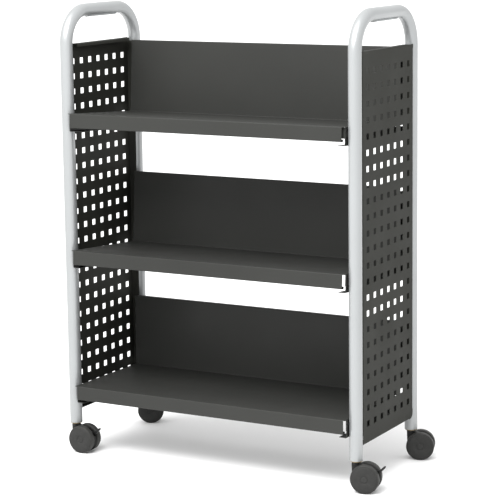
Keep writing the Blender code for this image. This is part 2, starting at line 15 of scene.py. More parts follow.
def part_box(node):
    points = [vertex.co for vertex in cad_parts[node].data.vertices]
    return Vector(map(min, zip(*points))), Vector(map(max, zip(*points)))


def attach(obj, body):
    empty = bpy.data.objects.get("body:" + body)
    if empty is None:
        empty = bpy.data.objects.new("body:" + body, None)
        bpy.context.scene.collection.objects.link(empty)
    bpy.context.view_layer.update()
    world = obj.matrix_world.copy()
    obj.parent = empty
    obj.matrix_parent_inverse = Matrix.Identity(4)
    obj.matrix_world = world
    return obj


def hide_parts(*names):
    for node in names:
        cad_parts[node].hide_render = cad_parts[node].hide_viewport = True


bl_info = {
    "name": "Book cart",
    "version": (1, 0, 0),
    "blender": (4, 5, 0),
    "location": "3D View > Sidebar > Book Cart",
    "description": "Builds the visible pieces of a rolling book cart around its packed frame",
    "category": "Object",
}

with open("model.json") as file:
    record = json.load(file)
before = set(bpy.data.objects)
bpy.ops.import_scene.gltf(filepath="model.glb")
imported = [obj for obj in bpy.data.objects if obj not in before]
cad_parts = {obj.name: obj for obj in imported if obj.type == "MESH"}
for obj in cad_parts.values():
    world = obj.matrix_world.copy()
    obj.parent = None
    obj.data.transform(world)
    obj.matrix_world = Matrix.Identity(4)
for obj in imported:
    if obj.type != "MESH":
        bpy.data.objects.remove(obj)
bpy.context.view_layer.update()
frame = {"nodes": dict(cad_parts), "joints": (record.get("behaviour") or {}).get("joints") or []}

SIDES = {"left": -1, "right": 1}
LEVELS = ("top", "middle", "bottom")
CORNERS = ("front_left", "front_right", "rear_left", "rear_right")
BRAKED = ("front_left", "front_right")

TUBE_BOX = {side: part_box(f"frame_tube_{side}") for side in SIDES}
PANEL_BOX = {side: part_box(f"side_panel_{side}") for side in SIDES}
TUBE_RADIUS = (TUBE_BOX["right"][1].x - TUBE_BOX["right"][0].x) / 2
MIDDLE_X = (TUBE_BOX["left"][0].x + TUBE_BOX["right"][1].x) / 2
MIDDLE_Y = (TUBE_BOX["right"][0].y + TUBE_BOX["right"][1].y) / 2
LEG_HALF_Y = (TUBE_BOX["right"][1].y - TUBE_BOX["right"][0].y) / 2 - TUBE_RADIUS
LEG_HALF_X = (TUBE_BOX["right"][1].x - TUBE_BOX["left"][0].x) / 2 - TUBE_RADIUS
FOOT = TUBE_BOX["right"][0].z
HANDLE_TOP = TUBE_BOX["right"][1].z
JOINTS = {joint["name"]: joint for joint in frame["joints"]}

GAP = 0.0003
BEND_STEPS = 6
SMOOTH_ANGLE = math.radians(38)
ALMOST = 0.999  # keeps an arc's end just clear of the line's own end


# Settings ---------------------------------------------------------------------------------------

def length_setting(name, description, default):
    return FloatProperty(name=name, description=description, default=default, unit="LENGTH")


def angle_setting(name, description, default):
    return FloatProperty(name=name, description=description, default=default, subtype="ANGLE")


def amount_setting(name, description, default):
    return FloatProperty(name=name, description=description, default=default)


def count_setting(name, description, default, lowest):
    return IntProperty(name=name, description=description, default=default, min=lowest)


def colour_setting(name, description, default):
    return FloatVectorProperty(name=name, description=description, default=default, subtype="COLOR")


class CartTubeSettings(bpy.types.PropertyGroup):
    radius: length_setting("Tube radius", "Outside radius of the frame tubes", TUBE_RADIUS)
    wall: length_setting("Tube wall", "Wall thickness of the frame tubes", 0.0016)
    bend: length_setting("Bend radius", "Radius of the handle bends along the tube's axis", 0.084)
    sides: count_setting("Tube sides", "Facets round each tube", 56, 12)
    strip_length: length_setting("Strip length", "Length of the strip under each handle", 0.130)
    strip_depth: length_setting("Strip depth", "How far the strip stands below the handle", 0.002)


class CartPanelSettings(bpy.types.PropertyGroup):
    pitch: length_setting("Hole pitch", "Distance between the centres of neighbouring holes", 0.0381)
    hole: length_setting("Hole size", "Width of each square hole", 0.0147)
    hole_corner: length_setting("Hole corner radius", "Radius of each hole's corners", 0.0012)
    columns: count_setting("Hole columns", "Holes from front to back", 7, 1)
    rows: count_setting("Hole rows", "Holes from bottom to top", 23, 1)
    top_row: length_setting("Top row height", "Height of the top row's centres", 0.9949)
    bend: length_setting("Fold radius", "Outside radius of the folds", 0.0026)
    flange: length_setting("Flange width", "Width of the folded edges", 0.020)
    hem: length_setting("Hem depth", "Depth of the hem behind the top flange", 0.008)
    relief: length_setting("Corner relief", "Gap between the side flanges and the top flange", 0.009)
    top_inset: length_setting("Top flange inset", "From the panel's edge to the top flange's end", 0.0208)
    rear_corner: length_setting("Rear corner radius", "Radius of the lower rear corner", 0.014)


class CartShelfSettings(bpy.types.PropertyGroup):
    sheet: length_setting("Sheet", "Sheet metal thickness", 0.0012)
    bend: length_setting("Fold radius", "Outside radius of the folds", 0.0024)
    heights: FloatVectorProperty(
        name="Lip heights",
        description="Height of each lip's top edge, from the top shelf down",
        default=(0.8709, 0.5259, 0.1762),
        unit="LENGTH",
    )
    tilts: FloatVectorProperty(
        name="Tilts",
        description="How far each shelf leans back",
        default=(math.radians(4.0), math.radians(4.0), math.radians(0.5)),
        subtype="EULER",
    )
    lip_face: length_setting("Lip face", "From the tubes' middle plane to the lip", 0.1836)
    lip_half: length_setting("Lip half length", "Half the length of the lip", 0.3753)
    lip_height: length_setting("Lip height", "Height of the rolled front lip", 0.0355)
    lip_return: length_setting("Lip return", "Width of the fold under the lip", 0.010)
    lip_upturn: length_setting("Lip upturn", "Height of the last fold of the lip", 0.006)
    floor_depth: length_setting("Floor depth", "From the lip to the back", 0.290)
    back_height: length_setting("Back height", "Height of the back above the floor", 0.1845)
    hem_depth: length_setting("Back hem depth", "Width of the fold on top of the back", 0.012)
    hem_drop: length_setting("Back hem drop", "Height of the fold behind the back", 0.008)
    end_height: length_setting("End plate height", "Height of the plates below the floor", 0.0448)
    end_reach: length_setting("End plate reach", "From the lip to the end plate's rear edge", 0.352)
    back_reach: length_setting("Back flange reach", "From the lip to the rear edge of the back's flanges", 0.330)
    end_return: length_setting("End return", "Width of the fold under each end plate", 0.020)
    relief: length_setting("Fold relief", "Cut-back of the folds at the corners", 0.009)
    tab_width: length_setting("Front tab width", "Width of the tab behind each end of the top lip", 0.012)
    tab_top: length_setting("Front tab top", "From the floor down to the tab", 0.0018)
    tab_foot: length_setting("Front tab foot", "From the floor down to the tab's lower edge", 0.0278)


class CartCasterSettings(bpy.types.PropertyGroup):
    wheel_radius: length_setting("Wheel radius", "Radius of the wheels", 0.035)
    outer_face: length_setting("Outer face", "From the caster's middle to a wheel's outer face", 0.024)
    inner_face: length_setting("Inner face", "From the caster's middle to a wheel's inner face", 0.0075)
    trail: length_setting("Trail", "From the swivel axis to the axle", 0.0245)
    hood_radius: length_setting("Hood radius", "Radius of the body between the wheels", 0.031)
    hood_half: length_setting("Hood half width", "Half the width of the body between the wheels", 0.0065)
    neck_radius: length_setting("Neck radius", "Radius of the neck under the tube", 0.0108)
    sides: count_setting("Wheel sides", "Facets round each wheel", 96, 16)


class CartFinishSettings(bpy.types.PropertyGroup):
    tube: colour_setting("Tube paint", "Colour of the silver enamel", (0.305, 0.315, 0.318))
    panel: colour_setting("Panel paint", "Colour of the side panels", (0.020, 0.0205, 0.0172))
    shelf: colour_setting("Shelf paint", "Colour of the shelves", (0.0235, 0.024, 0.022))
    wheel: colour_setting("Wheel nylon", "Colour of the wheels", (0.0185, 0.0185, 0.0175))
    hood: colour_setting("Caster body nylon", "Colour of the caster bodies", (0.011, 0.011, 0.0105))
    lever: colour_setting("Lever nylon", "Colour of the brake levers", (0.007, 0.007, 0.0068))
    ring: colour_setting("Foot ring", "Colour of the ring under each tube foot", (0.27, 0.20, 0.10))
    zinc: colour_setting("Zinc", "Colour of the plated steel", (0.32, 0.315, 0.29))
    strip: colour_setting("Strip", "Colour of the strips under the handles", (0.27, 0.285, 0.29))


class CartStageSettings(bpy.types.PropertyGroup):
    camera: FloatVectorProperty(
        name="Camera place",
        description="Camera position from the middle of the cart's floor",
        default=(2.3255, -4.1525, 1.3691),
        unit="LENGTH",
    )
    yaw: angle_setting("Camera yaw", "Turn to the left of the cart's depth direction", 0.504890)
    pitch: angle_setting("Camera pitch", "Downward tilt", 0.162450)
    roll: angle_setting("Camera roll", "Turn about the view axis", -0.012350)
    lens: amount_setting("Lens", "Focal length in millimetres on a 36 mm sensor", 139.23)
    shift: amount_setting("Lens shift", "Vertical shift of the view", -0.05)
    sky: amount_setting("Sky strength", "Strength of the even surrounding light", 1.25)
    sun: amount_setting("Sun strength", "Strength of the broad light from above the front", 2.5)
    sun_angle: angle_setting("Sun width", "Angle the broad light fills", math.radians(60))
    fill: amount_setting("Fill light power", "Power of the large light above the front in watts", 50.0)
    floor: colour_setting("Floor", "Floor colour", (0.90, 0.90, 0.90))


# Mesh helpers -----------------------------------------------------------------------------------

def link(name, mesh):
    thing = bpy.data.objects.new(name, mesh)
    bpy.context.scene.collection.objects.link(thing)
    return thing


def evaluated_mesh(thing):
    """The object's mesh with its modifiers applied; the object is removed."""
    graph = bpy.context.evaluated_depsgraph_get()
    mesh = bpy.data.meshes.new_from_object(thing.evaluated_get(graph))
    bpy.data.objects.remove(thing, do_unlink=True)
    return mesh


def mesh_from(name, bm):
    mesh = bpy.data.meshes.new(name)
    bm.to_mesh(mesh)
    bm.free()
    return mesh


def face_outwards(bm):
    """Make a closed mesh's faces point outwards."""
    bmesh.ops.recalc_face_normals(bm, faces=bm.faces)
    if bm.calc_volume(signed=True) < 0:
        bmesh.ops.reverse_faces(bm, faces=bm.faces)


def soften(mesh):
    mesh.shade_smooth()
    mesh.set_sharp_from_angle(angle=SMOOTH_ANGLE)
    return mesh


def add_bevel(thing, width, segments, angle):
    """Round a thing's edges that turn by more than angle, in degrees."""
    bevel = thing.modifiers.new("edges", "BEVEL")
    bevel.width = width
    bevel.segments = segments
    bevel.limit_method = "ANGLE"
    bevel.angle_limit = math.radians(angle)
    return bevel


def mark_faces(mesh, name, values):
    """Store one number on every face, for the materials."""
    attribute = mesh.attributes.new(name, "FLOAT", "FACE")
    attribute.data.foreach_set("value", values)


def rounded_line(points, radii, steps=BEND_STEPS):
    """A 2D line with its inner corners replaced by arcs."""
    points = [Vector(point) for point in points]
    line = [points[0]]
    for before, corner, after, radius in zip(points, points[1:], points[2:], radii):
        towards = (before - corner).normalized()
        onwards = (after - corner).normalized()
        half = math.acos(max(-1.0, min(1.0, towards.dot(onwards)))) / 2
        centre = corner + (towards + onwards).normalized() * radius / math.sin(half)
        start = corner + towards * radius / math.tan(half) - centre
        stop = corner + onwards * radius / math.tan(half) - centre
        sweep = math.atan2(start.x * stop.y - start.y * stop.x, start.dot(stop))
        for step in range(steps + 1):
            angle = sweep * step / steps
            turned = Vector(
                (
                    start.x * math.cos(angle) - start.y * math.sin(angle),
                    start.x * math.sin(angle) + start.y * math.cos(angle),
                )
            )
            line.append(centre + turned)
    line.append(points[-1])
    return [tuple(point) for point in line]


class Sheet:
    """Bent sheet metal drawn as its front side, whose faces share their corners."""

    def __init__(self):
        self.bm = bmesh.new()
        self.known = {}

    def corner(self, point):
        key = tuple(round(value, 6) for value in point)
        if key not in self.known:
            self.known[key] = self.bm.verts.new(point)
        return self.known[key]

    def face(self, points):
        ring = list(dict.fromkeys(self.corner(point) for point in points))
        if len(ring) > 2:
            self.bm.faces.new(ring)

    def rows(self, first, second):
        """Faces between two lines of as many points."""
        for index in range(len(first) - 1):
            self.face([first[index], first[index + 1], second[index + 1], second[index]])

    def grid(self, lines):
        for first, second in zip(lines, lines[1:]):
            self.rows(first, second)

    def take(self, mesh, place):
        """Add a mesh's faces, with each vertex put in place."""
        for polygon in mesh.polygons:
            self.face([place(mesh.vertices[index].co) for index in polygon.vertices])

    def solid(self, name, thickness, front, edge=0.00025):
        """A closed mesh, with softened edges. front is the direction the largest face looks in."""
        bmesh.ops.recalc_face_normals(self.bm, faces=self.bm.faces)
        largest = max(self.bm.faces, key=lambda face: face.calc_area())
        if largest.normal.dot(Vector(front)) < 0:
            bmesh.ops.reverse_faces(self.bm, faces=self.bm.faces)
        mesh = mesh_from(name, self.bm)
        for label in ("flat", "rim", "edge"):
            mesh.materials.append(bpy.data.materials.get(label) or bpy.data.materials.new(label))
        thing = link(name, mesh)
        solidify = thing.modifiers.new("thickness", "SOLIDIFY")
        solidify.thickness = thickness
        solidify.offset = -1
        solidify.use_even_offset = True
        solidify.material_offset_rim = 1
        add_bevel(thing, edge, 2, 50).material = 2
        mesh = evaluated_mesh(thing)
        kinds = [(0.0, 0.45, 1.0)[min(polygon.material_index, 2)] for polygon in mesh.polygons]
        mark_faces(mesh, "edge", kinds)
        for polygon in mesh.polygons:
            polygon.material_index = 0
        mesh.materials.clear()
        return keep_flats_flat(name, soften(mesh))


def keep_flats_flat(name, mesh):
    """Weight the shading by face area, so that the large flats stay flat."""
    thing = link(name, mesh)
    weighted = thing.modifiers.new("shading", "WEIGHTED_NORMAL")
    weighted.keep_sharp = True
    weighted.weight = 80
    return evaluated_mesh(thing)


def stitch(bm, low, high, sides):
    """Faces between two rings of vertices, either of which may be a single pole."""
    for step in range(sides):
        after = (step + 1) % sides
        near = [low[step % len(low)], low[after % len(low)]]
        far = [high[after % len(high)], high[step % len(high)]]
        ring = list(dict.fromkeys(near + far))
        if len(ring) > 2:
            bm.faces.new(ring)


def lathe(profile, sides, place=None, closed=True):
    """Spin an (r, z) profile round Z into a bmesh; points at r = 0 become poles."""
    bm = bmesh.new()
    rings = []
    for radius, height in profile:
        if radius == 0:
            rings.append([bm.verts.new((0, 0, height))])
        else:
            angles = [2 * math.pi * step / sides for step in range(sides)]
            points = [(radius * math.cos(angle), radius * math.sin(angle), height) for angle in angles]
            rings.append([bm.verts.new(point) for point in points])
    pairs = list(zip(rings, rings[1:]))
    if closed and len(rings[0]) > 1:
        pairs.append((rings[-1], rings[0]))
    for low, high in pairs:
        stitch(bm, low, high, sides)
    if place is not None:
        bmesh.ops.transform(bm, matrix=place, verts=bm.verts)
    face_outwards(bm)
    return bm


def prism(outline, half_width):
    """Extrude an (x, z) outline along Y, from -half_width to +half_width."""
    bm = bmesh.new()
    face = bm.faces.new([bm.verts.new((x, -half_width, z)) for x, z in outline])
    moved = bmesh.ops.extrude_face_region(bm, geom=[face])["geom"]
    verts = [item for item in moved if isinstance(item, bmesh.types.BMVert)]
    bmesh.ops.translate(bm, verts=verts, vec=(0, 2 * half_width, 0))
    face_outwards(bm)
    return bm


def combine(name, body, steps, bevel_width=0.0, bevel_angle=40):
    """Apply (operation, bmesh) steps to a bmesh in order, soften the edges and return the mesh."""
    thing = link(name, mesh_from(name, body))
    tools = []
    for operation, tool in steps:
        helper = link("tool", mesh_from("tool", tool))
        tools.append(helper)
        modifier = thing.modifiers.new(operation.lower(), "BOOLEAN")
        modifier.operation = operation
        modifier.solver = "EXACT"
        modifier.object = helper
    if bevel_width:
        add_bevel(thing, bevel_width, 2, bevel_angle)
    mesh = evaluated_mesh(thing)
    for helper in tools:
        bpy.data.objects.remove(helper, do_unlink=True)
    return soften(mesh)


def piece_from_node(name, node, bevel_width):
    """A merged copy of a CAD node's mesh with rounded edges."""
    bm = bmesh.new()
    bm.from_mesh(frame["nodes"][node].data)
    bmesh.ops.remove_doubles(bm, verts=bm.verts, dist=0.00001)
    bmesh.ops.dissolve_limit(bm, angle_limit=math.radians(2), verts=bm.verts, edges=bm.edges)
    return combine(name, bm, [], bevel_width, 28)


def shelf_place(index):
    """From the shelf's own frame, with its origin at the lip's top front edge, to the cart's frame."""
    sizes = bpy.context.scene.cart_shelves
    origin = Vector((MIDDLE_X, MIDDLE_Y - sizes.lip_face, sizes.heights[index]))
    return Matrix.Translation(origin) @ Matrix.Rotation(-sizes.tilts[index], 4, "X")


def caster_place(corner):
    """From the caster's own frame, with its swivel on Z and its wheels behind on +X."""
    swivel = JOINTS[f"swivel_{corner}"]["pos_m"]
    axle = JOINTS[f"near_spin_{corner}"]["pos_m"]
    turn = math.atan2(axle[1] - swivel[1], axle[0] - swivel[0])
    return Matrix.Translation((swivel[0], swivel[1], 0)) @ Matrix.Rotation(turn, 4, "Z")


def on_axle(x, z):
    """Turns a shape built round Z onto the Y axis at (x, z)."""
    return Matrix.Translation((x, 0, z)) @ Matrix.Rotation(-math.pi / 2, 4, "X")


def show(name, mesh, material, body, nodes):
    """Add a finished piece that stands for its CAD nodes and moves with a body."""
    mesh.materials.clear()
    mesh.materials.append(material)
    piece = link(name, mesh)
    if nodes:
        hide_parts(*nodes)
    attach(piece, body)
    return piece


# Node trees for what repeats --------------------------------------------------------------------

def geometry_tree(name, inputs):
    """A Geometry Nodes tree with a geometry input and output and the named inputs."""
    tree = bpy.data.node_groups.new(name, "GeometryNodeTree")
    tree.interface.new_socket("Geometry", in_out="INPUT", socket_type="NodeSocketGeometry")
    for label, kind in inputs:
        tree.interface.new_socket(label, in_out="INPUT", socket_type=kind)
    tree.interface.new_socket("Geometry", in_out="OUTPUT", socket_type="NodeSocketGeometry")
    return tree, tree.nodes.new("NodeGroupInput"), tree.nodes.new("NodeGroupOutput")


def join_all(tree, links):
    """Link (node, output, node, input) in turn."""
    for source, output, target, entry in links:
        tree.links.new(source.outputs[output], target.inputs[entry])


def grown_mesh(name, base, tree, values):
    """Run a Geometry Nodes tree on a base mesh and return the plain result."""
    thing = link(name, base)
    modifier = thing.modifiers.new(name, "NODES")
    modifier.node_group = tree
    sockets = {item.name: item.identifier for item in tree.interface.items_tree if item.in_out == "INPUT"}
    for label, value in values.items():
        modifier[sockets[label]] = value
    return evaluated_mesh(thing)


def bent_tube_tree():
    """Rounds the corners of a line and sweeps a circle along it."""
    kinds = [
        ("Bend radius", "NodeSocketFloat"),
        ("Bend steps", "NodeSocketInt"),
        ("Tube radius", "NodeSocketFloat"),
        ("Sides", "NodeSocketInt"),
        ("Material", "NodeSocketMaterial"),
    ]
    tree, given, made = geometry_tree("bent_tube", kinds)
    line = tree.nodes.new("GeometryNodeMeshToCurve")
    fillet = tree.nodes.new("GeometryNodeFilletCurve")
    fillet.mode = "POLY"
    circle = tree.nodes.new("GeometryNodeCurvePrimitiveCircle")
    sweep = tree.nodes.new("GeometryNodeCurveToMesh")
    real = tree.nodes.new("GeometryNodeRealizeInstances")
    paint = tree.nodes.new("GeometryNodeSetMaterial")
    links = [
        (given, "Geometry", line, "Mesh"),
        (line, "Curve", fillet, "Curve"),
        (given, "Bend radius", fillet, "Radius"),
        (given, "Bend steps", fillet, "Count"),
        (given, "Sides", circle, "Resolution"),
        (given, "Tube radius", circle, "Radius"),
        (fillet, "Curve", sweep, "Curve"),
        (circle, "Curve", sweep, "Profile Curve"),
        (sweep, "Mesh", real, "Geometry"),
        (real, "Geometry", paint, "Geometry"),
        (given, "Material", paint, "Material"),
        (paint, "Geometry", made, "Geometry"),
    ]
    join_all(tree, links)
    return tree


def perforation_tree():
    """Repeats one cell of perforated sheet over a grid and welds the cells together."""
    kinds = [
        ("Columns", "NodeSocketInt"),
        ("Rows", "NodeSocketInt"),
        ("Width", "NodeSocketFloat"),
        ("Height", "NodeSocketFloat"),
        ("Weld distance", "NodeSocketFloat"),
        ("Material", "NodeSocketMaterial"),
    ]
    tree, given, made = geometry_tree("perforation", kinds)
    grid = tree.nodes.new("GeometryNodeMeshGrid")
    place = tree.nodes.new("GeometryNodeInstanceOnPoints")
    real = tree.nodes.new("GeometryNodeRealizeInstances")
    weld = tree.nodes.new("GeometryNodeMergeByDistance")
    paint = tree.nodes.new("GeometryNodeSetMaterial")
    links = [
        (given, "Width", grid, "Size X"),
        (given, "Height", grid, "Size Y"),
        (given, "Columns", grid, "Vertices X"),
        (given, "Rows", grid, "Vertices Y"),
        (grid, "Mesh", place, "Points"),
        (given, "Geometry", place, "Instance"),
        (place, "Instances", real, "Geometry"),
        (real, "Geometry", weld, "Geometry"),
        (given, "Weld distance", weld, "Distance"),
        (weld, "Geometry", paint, "Geometry"),
        (given, "Material", paint, "Material"),
        (paint, "Geometry", made, "Geometry"),
    ]
    join_all(tree, links)
    return tree


def fastener_tree():
    """Puts a fastener on each point, its axis along the point's facing attribute."""
    tree, given, made = geometry_tree(
        "fasteners", [("Fastener", "NodeSocketObject"), ("Material", "NodeSocketMaterial")]
    )
    info = tree.nodes.new("GeometryNodeObjectInfo")
    facing = tree.nodes.new("GeometryNodeInputNamedAttribute")
    facing.data_type = "FLOAT_VECTOR"
    facing.inputs["Name"].default_value = "facing"
    align = tree.nodes.new("FunctionNodeAlignRotationToVector")
    align.axis = "Z"
    place = tree.nodes.new("GeometryNodeInstanceOnPoints")
    real = tree.nodes.new("GeometryNodeRealizeInstances")
    paint = tree.nodes.new("GeometryNodeSetMaterial")
    links = [
        (given, "Fastener", info, "Object"),
        (facing, "Attribute", align, "Vector"),
        (given, "Geometry", place, "Points"),
        (info, "Geometry", place, "Instance"),
        (align, "Rotation", place, "Rotation"),
        (place, "Instances", real, "Geometry"),
        (real, "Geometry", paint, "Geometry"),
        (given, "Material", paint, "Material"),
        (paint, "Geometry", made, "Geometry"),
    ]
    join_all(tree, links)
    return tree


# Materials --------------------------------------------------------------------------------------

class Finish:
    """Small helper that builds a material's nodes on Object coordinates."""

    def __init__(self, name, roughness, metallic=0.0, specular=0.5):
        self.material = bpy.data.materials.new(name)
        self.material.use_nodes = True
        self.tree = self.material.node_tree
        self.shader = self.tree.nodes["Principled BSDF"]
        self.shader.inputs["Roughness"].default_value = roughness
        self.shader.inputs["Metallic"].default_value = metallic
        self.shader.inputs["Specular IOR Level"].default_value = specular
        self.coords = self.tree.nodes.new("ShaderNodeTexCoord")

    def noise(self, scale, detail=3.0, stretch=None):
        node = self.tree.nodes.new("ShaderNodeTexNoise")
        node.inputs["Scale"].default_value = scale
        node.inputs["Detail"].default_value = detail
        source = self.coords.outputs["Object"]
        if stretch is not None:
            mapping = self.tree.nodes.new("ShaderNodeMapping")
            mapping.inputs["Scale"].default_value = stretch
            self.tree.links.new(source, mapping.inputs["Vector"])
            source = mapping.outputs["Vector"]
        self.tree.links.new(source, node.inputs["Vector"])
        return node.outputs["Fac"]

    def cells(self, scale):
        node = self.tree.nodes.new("ShaderNodeTexVoronoi")
        node.inputs["Scale"].default_value = scale
        self.tree.links.new(self.coords.outputs["Object"], node.inputs["Vector"])
        return node.outputs["Color"]

    def remap(self, value, low, high, out_low, out_high):
        node = self.tree.nodes.new("ShaderNodeMapRange")
        node.inputs["From Min"].default_value = low
        node.inputs["From Max"].default_value = high
        node.inputs["To Min"].default_value = out_low
        node.inputs["To Max"].default_value = out_high
        self.tree.links.new(value, node.inputs["Value"])
        return node.outputs["Result"]

    def multiply(self, first, second):
        node = self.tree.nodes.new("ShaderNodeMath")
        node.operation = "MULTIPLY"
        node.use_clamp = True
        self.tree.links.new(first, node.inputs[0])
        self.tree.links.new(second, node.inputs[1])
        return node.outputs["Value"]

    def attribute(self, name):
        node = self.tree.nodes.new("ShaderNodeAttribute")
        node.attribute_name = name
        return node.outputs["Fac"]

    def mix(self, factor, first, second):
        """first and second are colours or sockets."""
        node = self.tree.nodes.new("ShaderNodeMix")
        node.data_type = "RGBA"
        self.tree.links.new(factor, node.inputs["Factor"])
        for value, socket in ((first, node.inputs["A"]), (second, node.inputs["B"])):
            if isinstance(value, bpy.types.NodeSocket):
                self.tree.links.new(value, socket)
            else:
                socket.default_value = (*value, 1.0)
        return node.outputs["Result"]

    def colour(self, socket):
        self.tree.links.new(socket, self.shader.inputs["Base Color"])

    def roughness(self, socket):
        self.tree.links.new(socket, self.shader.inputs["Roughness"])

    def bumps(self, layers):
        """(height socket, strength, distance) layers, chained."""
        normal = None
        for height, strength, distance in layers:
            node = self.tree.nodes.new("ShaderNodeBump")
            node.inputs["Strength"].default_value = strength
            node.inputs["Distance"].default_value = distance
            self.tree.links.new(height, node.inputs["Height"])
            if normal is not None:
                self.tree.links.new(normal, node.inputs["Normal"])
            normal = node.outputs["Normal"]
        self.tree.links.new(normal, self.shader.inputs["Normal"])


def shade(colour, factor):
    return tuple(min(1.0, value * factor) for value in colour)


def powder_coat(name, colour, roughness, specular, grain):
    """Dark powder coat: slight tone drift, fine grain, and a lighter colour along the cut edges, partly thinner
    paint and partly a painted highlight.
    """
    finish = Finish(name, roughness, specular=specular)
    drift = finish.remap(finish.noise(2.2, 4.0), 0.30, 0.70, 0.0, 1.0)
    tone = finish.mix(drift, shade(colour, 0.88), shade(colour, 1.14))
    speck = finish.remap(finish.noise(950.0, 1.0), 0.58, 0.74, 0.0, 0.35)
    tone = finish.mix(speck, tone, shade(colour, 1.9))
    patches = finish.remap(finish.noise(60.0, 4.0), 0.38, 0.66, 0.25, 1.0)
    # cut edges and hole rims are lightened: partly thinner paint, partly a painted highlight along the edges
    worn_and_highlit = finish.multiply(finish.attribute("edge"), patches)
    finish.colour(finish.mix(finish.remap(worn_and_highlit, 0.0, 1.0, 0.0, 0.55), tone, shade(colour, 3.2)))
    finish.roughness(finish.remap(finish.noise(7.0, 5.0), 0.30, 0.70, roughness - 0.05, roughness + 0.06))
    finish.bumps([(finish.noise(640.0, 2.0), grain, 0.00022), (finish.noise(55.0, 2.0), 0.10, 0.0006)])
    return finish.material


def silver_enamel(name, colour, roughness):
    """Light silver enamel with fine flake and orange peel."""
    finish = Finish(name, roughness, metallic=0.42, specular=0.5)
    drift = finish.remap(finish.noise(3.0, 3.0), 0.30, 0.70, 0.0, 1.0)
    tone = finish.mix(drift, shade(colour, 0.965), shade(colour, 1.035))
    flake = finish.remap(finish.cells(2600.0), 0.0, 1.0, 0.0, 0.22)
    finish.colour(finish.mix(flake, tone, shade(colour, 1.30)))
    finish.roughness(finish.remap(finish.noise(9.0, 4.0), 0.30, 0.70, roughness - 0.04, roughness + 0.05))
    finish.bumps([(finish.noise(300.0, 2.0), 0.12, 0.00015), (finish.cells(2600.0), 0.05, 0.0001)])
    return finish.material


def moulded_nylon(name, colour, roughness, specular=0.45):
    """Moulded plastic: fine grain, faint flow streaks, and paler scuffs where it rubs."""
    finish = Finish(name, roughness, specular=specular)
    drift = finish.remap(finish.noise(45.0, 4.0), 0.30, 0.70, 0.0, 1.0)
    tone = finish.mix(drift, shade(colour, 0.86), shade(colour, 1.16))
    dust = finish.remap(finish.noise(140.0, 5.0), 0.48, 0.72, 0.0, 0.30)
    tone = finish.mix(dust, tone, shade(colour, 1.8))
    patches = finish.remap(finish.noise(320.0, 4.0), 0.35, 0.62, 0.2, 1.0)
    scuff = finish.multiply(finish.attribute("edge"), patches)
    finish.colour(finish.mix(finish.remap(scuff, 0.0, 1.0, 0.0, 0.6), tone, shade(colour, 2.4)))
    finish.roughness(finish.remap(finish.noise(80.0, 4.0), 0.30, 0.70, roughness - 0.06, roughness + 0.08))
    finish.bumps([(finish.noise(1500.0, 2.0), 0.22, 0.00012), (finish.noise(220.0, 3.0), 0.08, 0.0002)])
    return finish.material


def plated_steel(name, colour, roughness):
    """Zinc or brass plating with soft mottling and drawn lines."""
    finish = Finish(name, roughness, metallic=0.9)
    drift = finish.remap(finish.noise(400.0, 4.0), 0.30, 0.70, 0.0, 1.0)
    finish.colour(finish.mix(drift, shade(colour, 0.80), shade(colour, 1.12)))
    lines = finish.noise(1200.0, 2.0, stretch=(1.0, 1.0, 0.08))
    finish.roughness(finish.remap(lines, 0.30, 0.70, roughness - 0.08, roughness + 0.10))
    finish.bumps([(lines, 0.10, 0.0001)])
    return finish.material


def strip_plastic(name, colour, roughness, low, high):
    """Light strip whose lowest face is dark; low and high bound the change in height."""
    finish = Finish(name, roughness)
    split = finish.tree.nodes.new("ShaderNodeSeparateXYZ")
    finish.tree.links.new(finish.coords.outputs["Object"], split.inputs["Vector"])
    lower = finish.remap(split.outputs["Z"], low, high, 1.0, 0.0)
    drift = finish.remap(finish.noise(120.0, 3.0), 0.30, 0.70, 0.0, 1.0)
    tone = finish.mix(drift, shade(colour, 0.94), shade(colour, 1.05))
    finish.colour(finish.mix(lower, tone, shade(colour, 0.22)))
    finish.roughness(finish.remap(finish.noise(90.0, 3.0), 0.30, 0.70, roughness - 0.05, roughness + 0.05))
    finish.bumps([(finish.noise(1100.0, 2.0), 0.15, 0.0001)])
    return finish.material


def material_named(name):
    """The finishes, each made once."""
    found = bpy.data.materials.get(name)
    if found is not None:
        return found
    colours = bpy.context.scene.cart_finishes
    strip_top = HANDLE_TOP - 2 * TUBE_RADIUS
    dark_below, light_above = strip_top - 0.0022, strip_top + 0.0004
    makers = {
        "tube enamel": lambda: silver_enamel(name, colours.tube, 0.36),
        "panel powder coat": lambda: powder_coat(name, colours.panel, 0.60, 0.12, 0.30),
        "shelf powder coat": lambda: powder_coat(name, colours.shelf, 0.45, 0.20, 0.20),
        "wheel nylon": lambda: moulded_nylon(name, colours.wheel, 0.55, 0.25),
        "caster nylon": lambda: moulded_nylon(name, colours.hood, 0.52, 0.25),
        "lever nylon": lambda: moulded_nylon(name, colours.lever, 0.45, 0.30),
        "foot ring": lambda: plated_steel(name, colours.ring, 0.42),
        "zinc plate": lambda: plated_steel(name, colours.zinc, 0.34),
        "handle strip": lambda: strip_plastic(name, colours.strip, 0.45, dark_below, light_above),
    }
    return makers[name]()


# Tubes ------------------------------------------------------------------------------------------

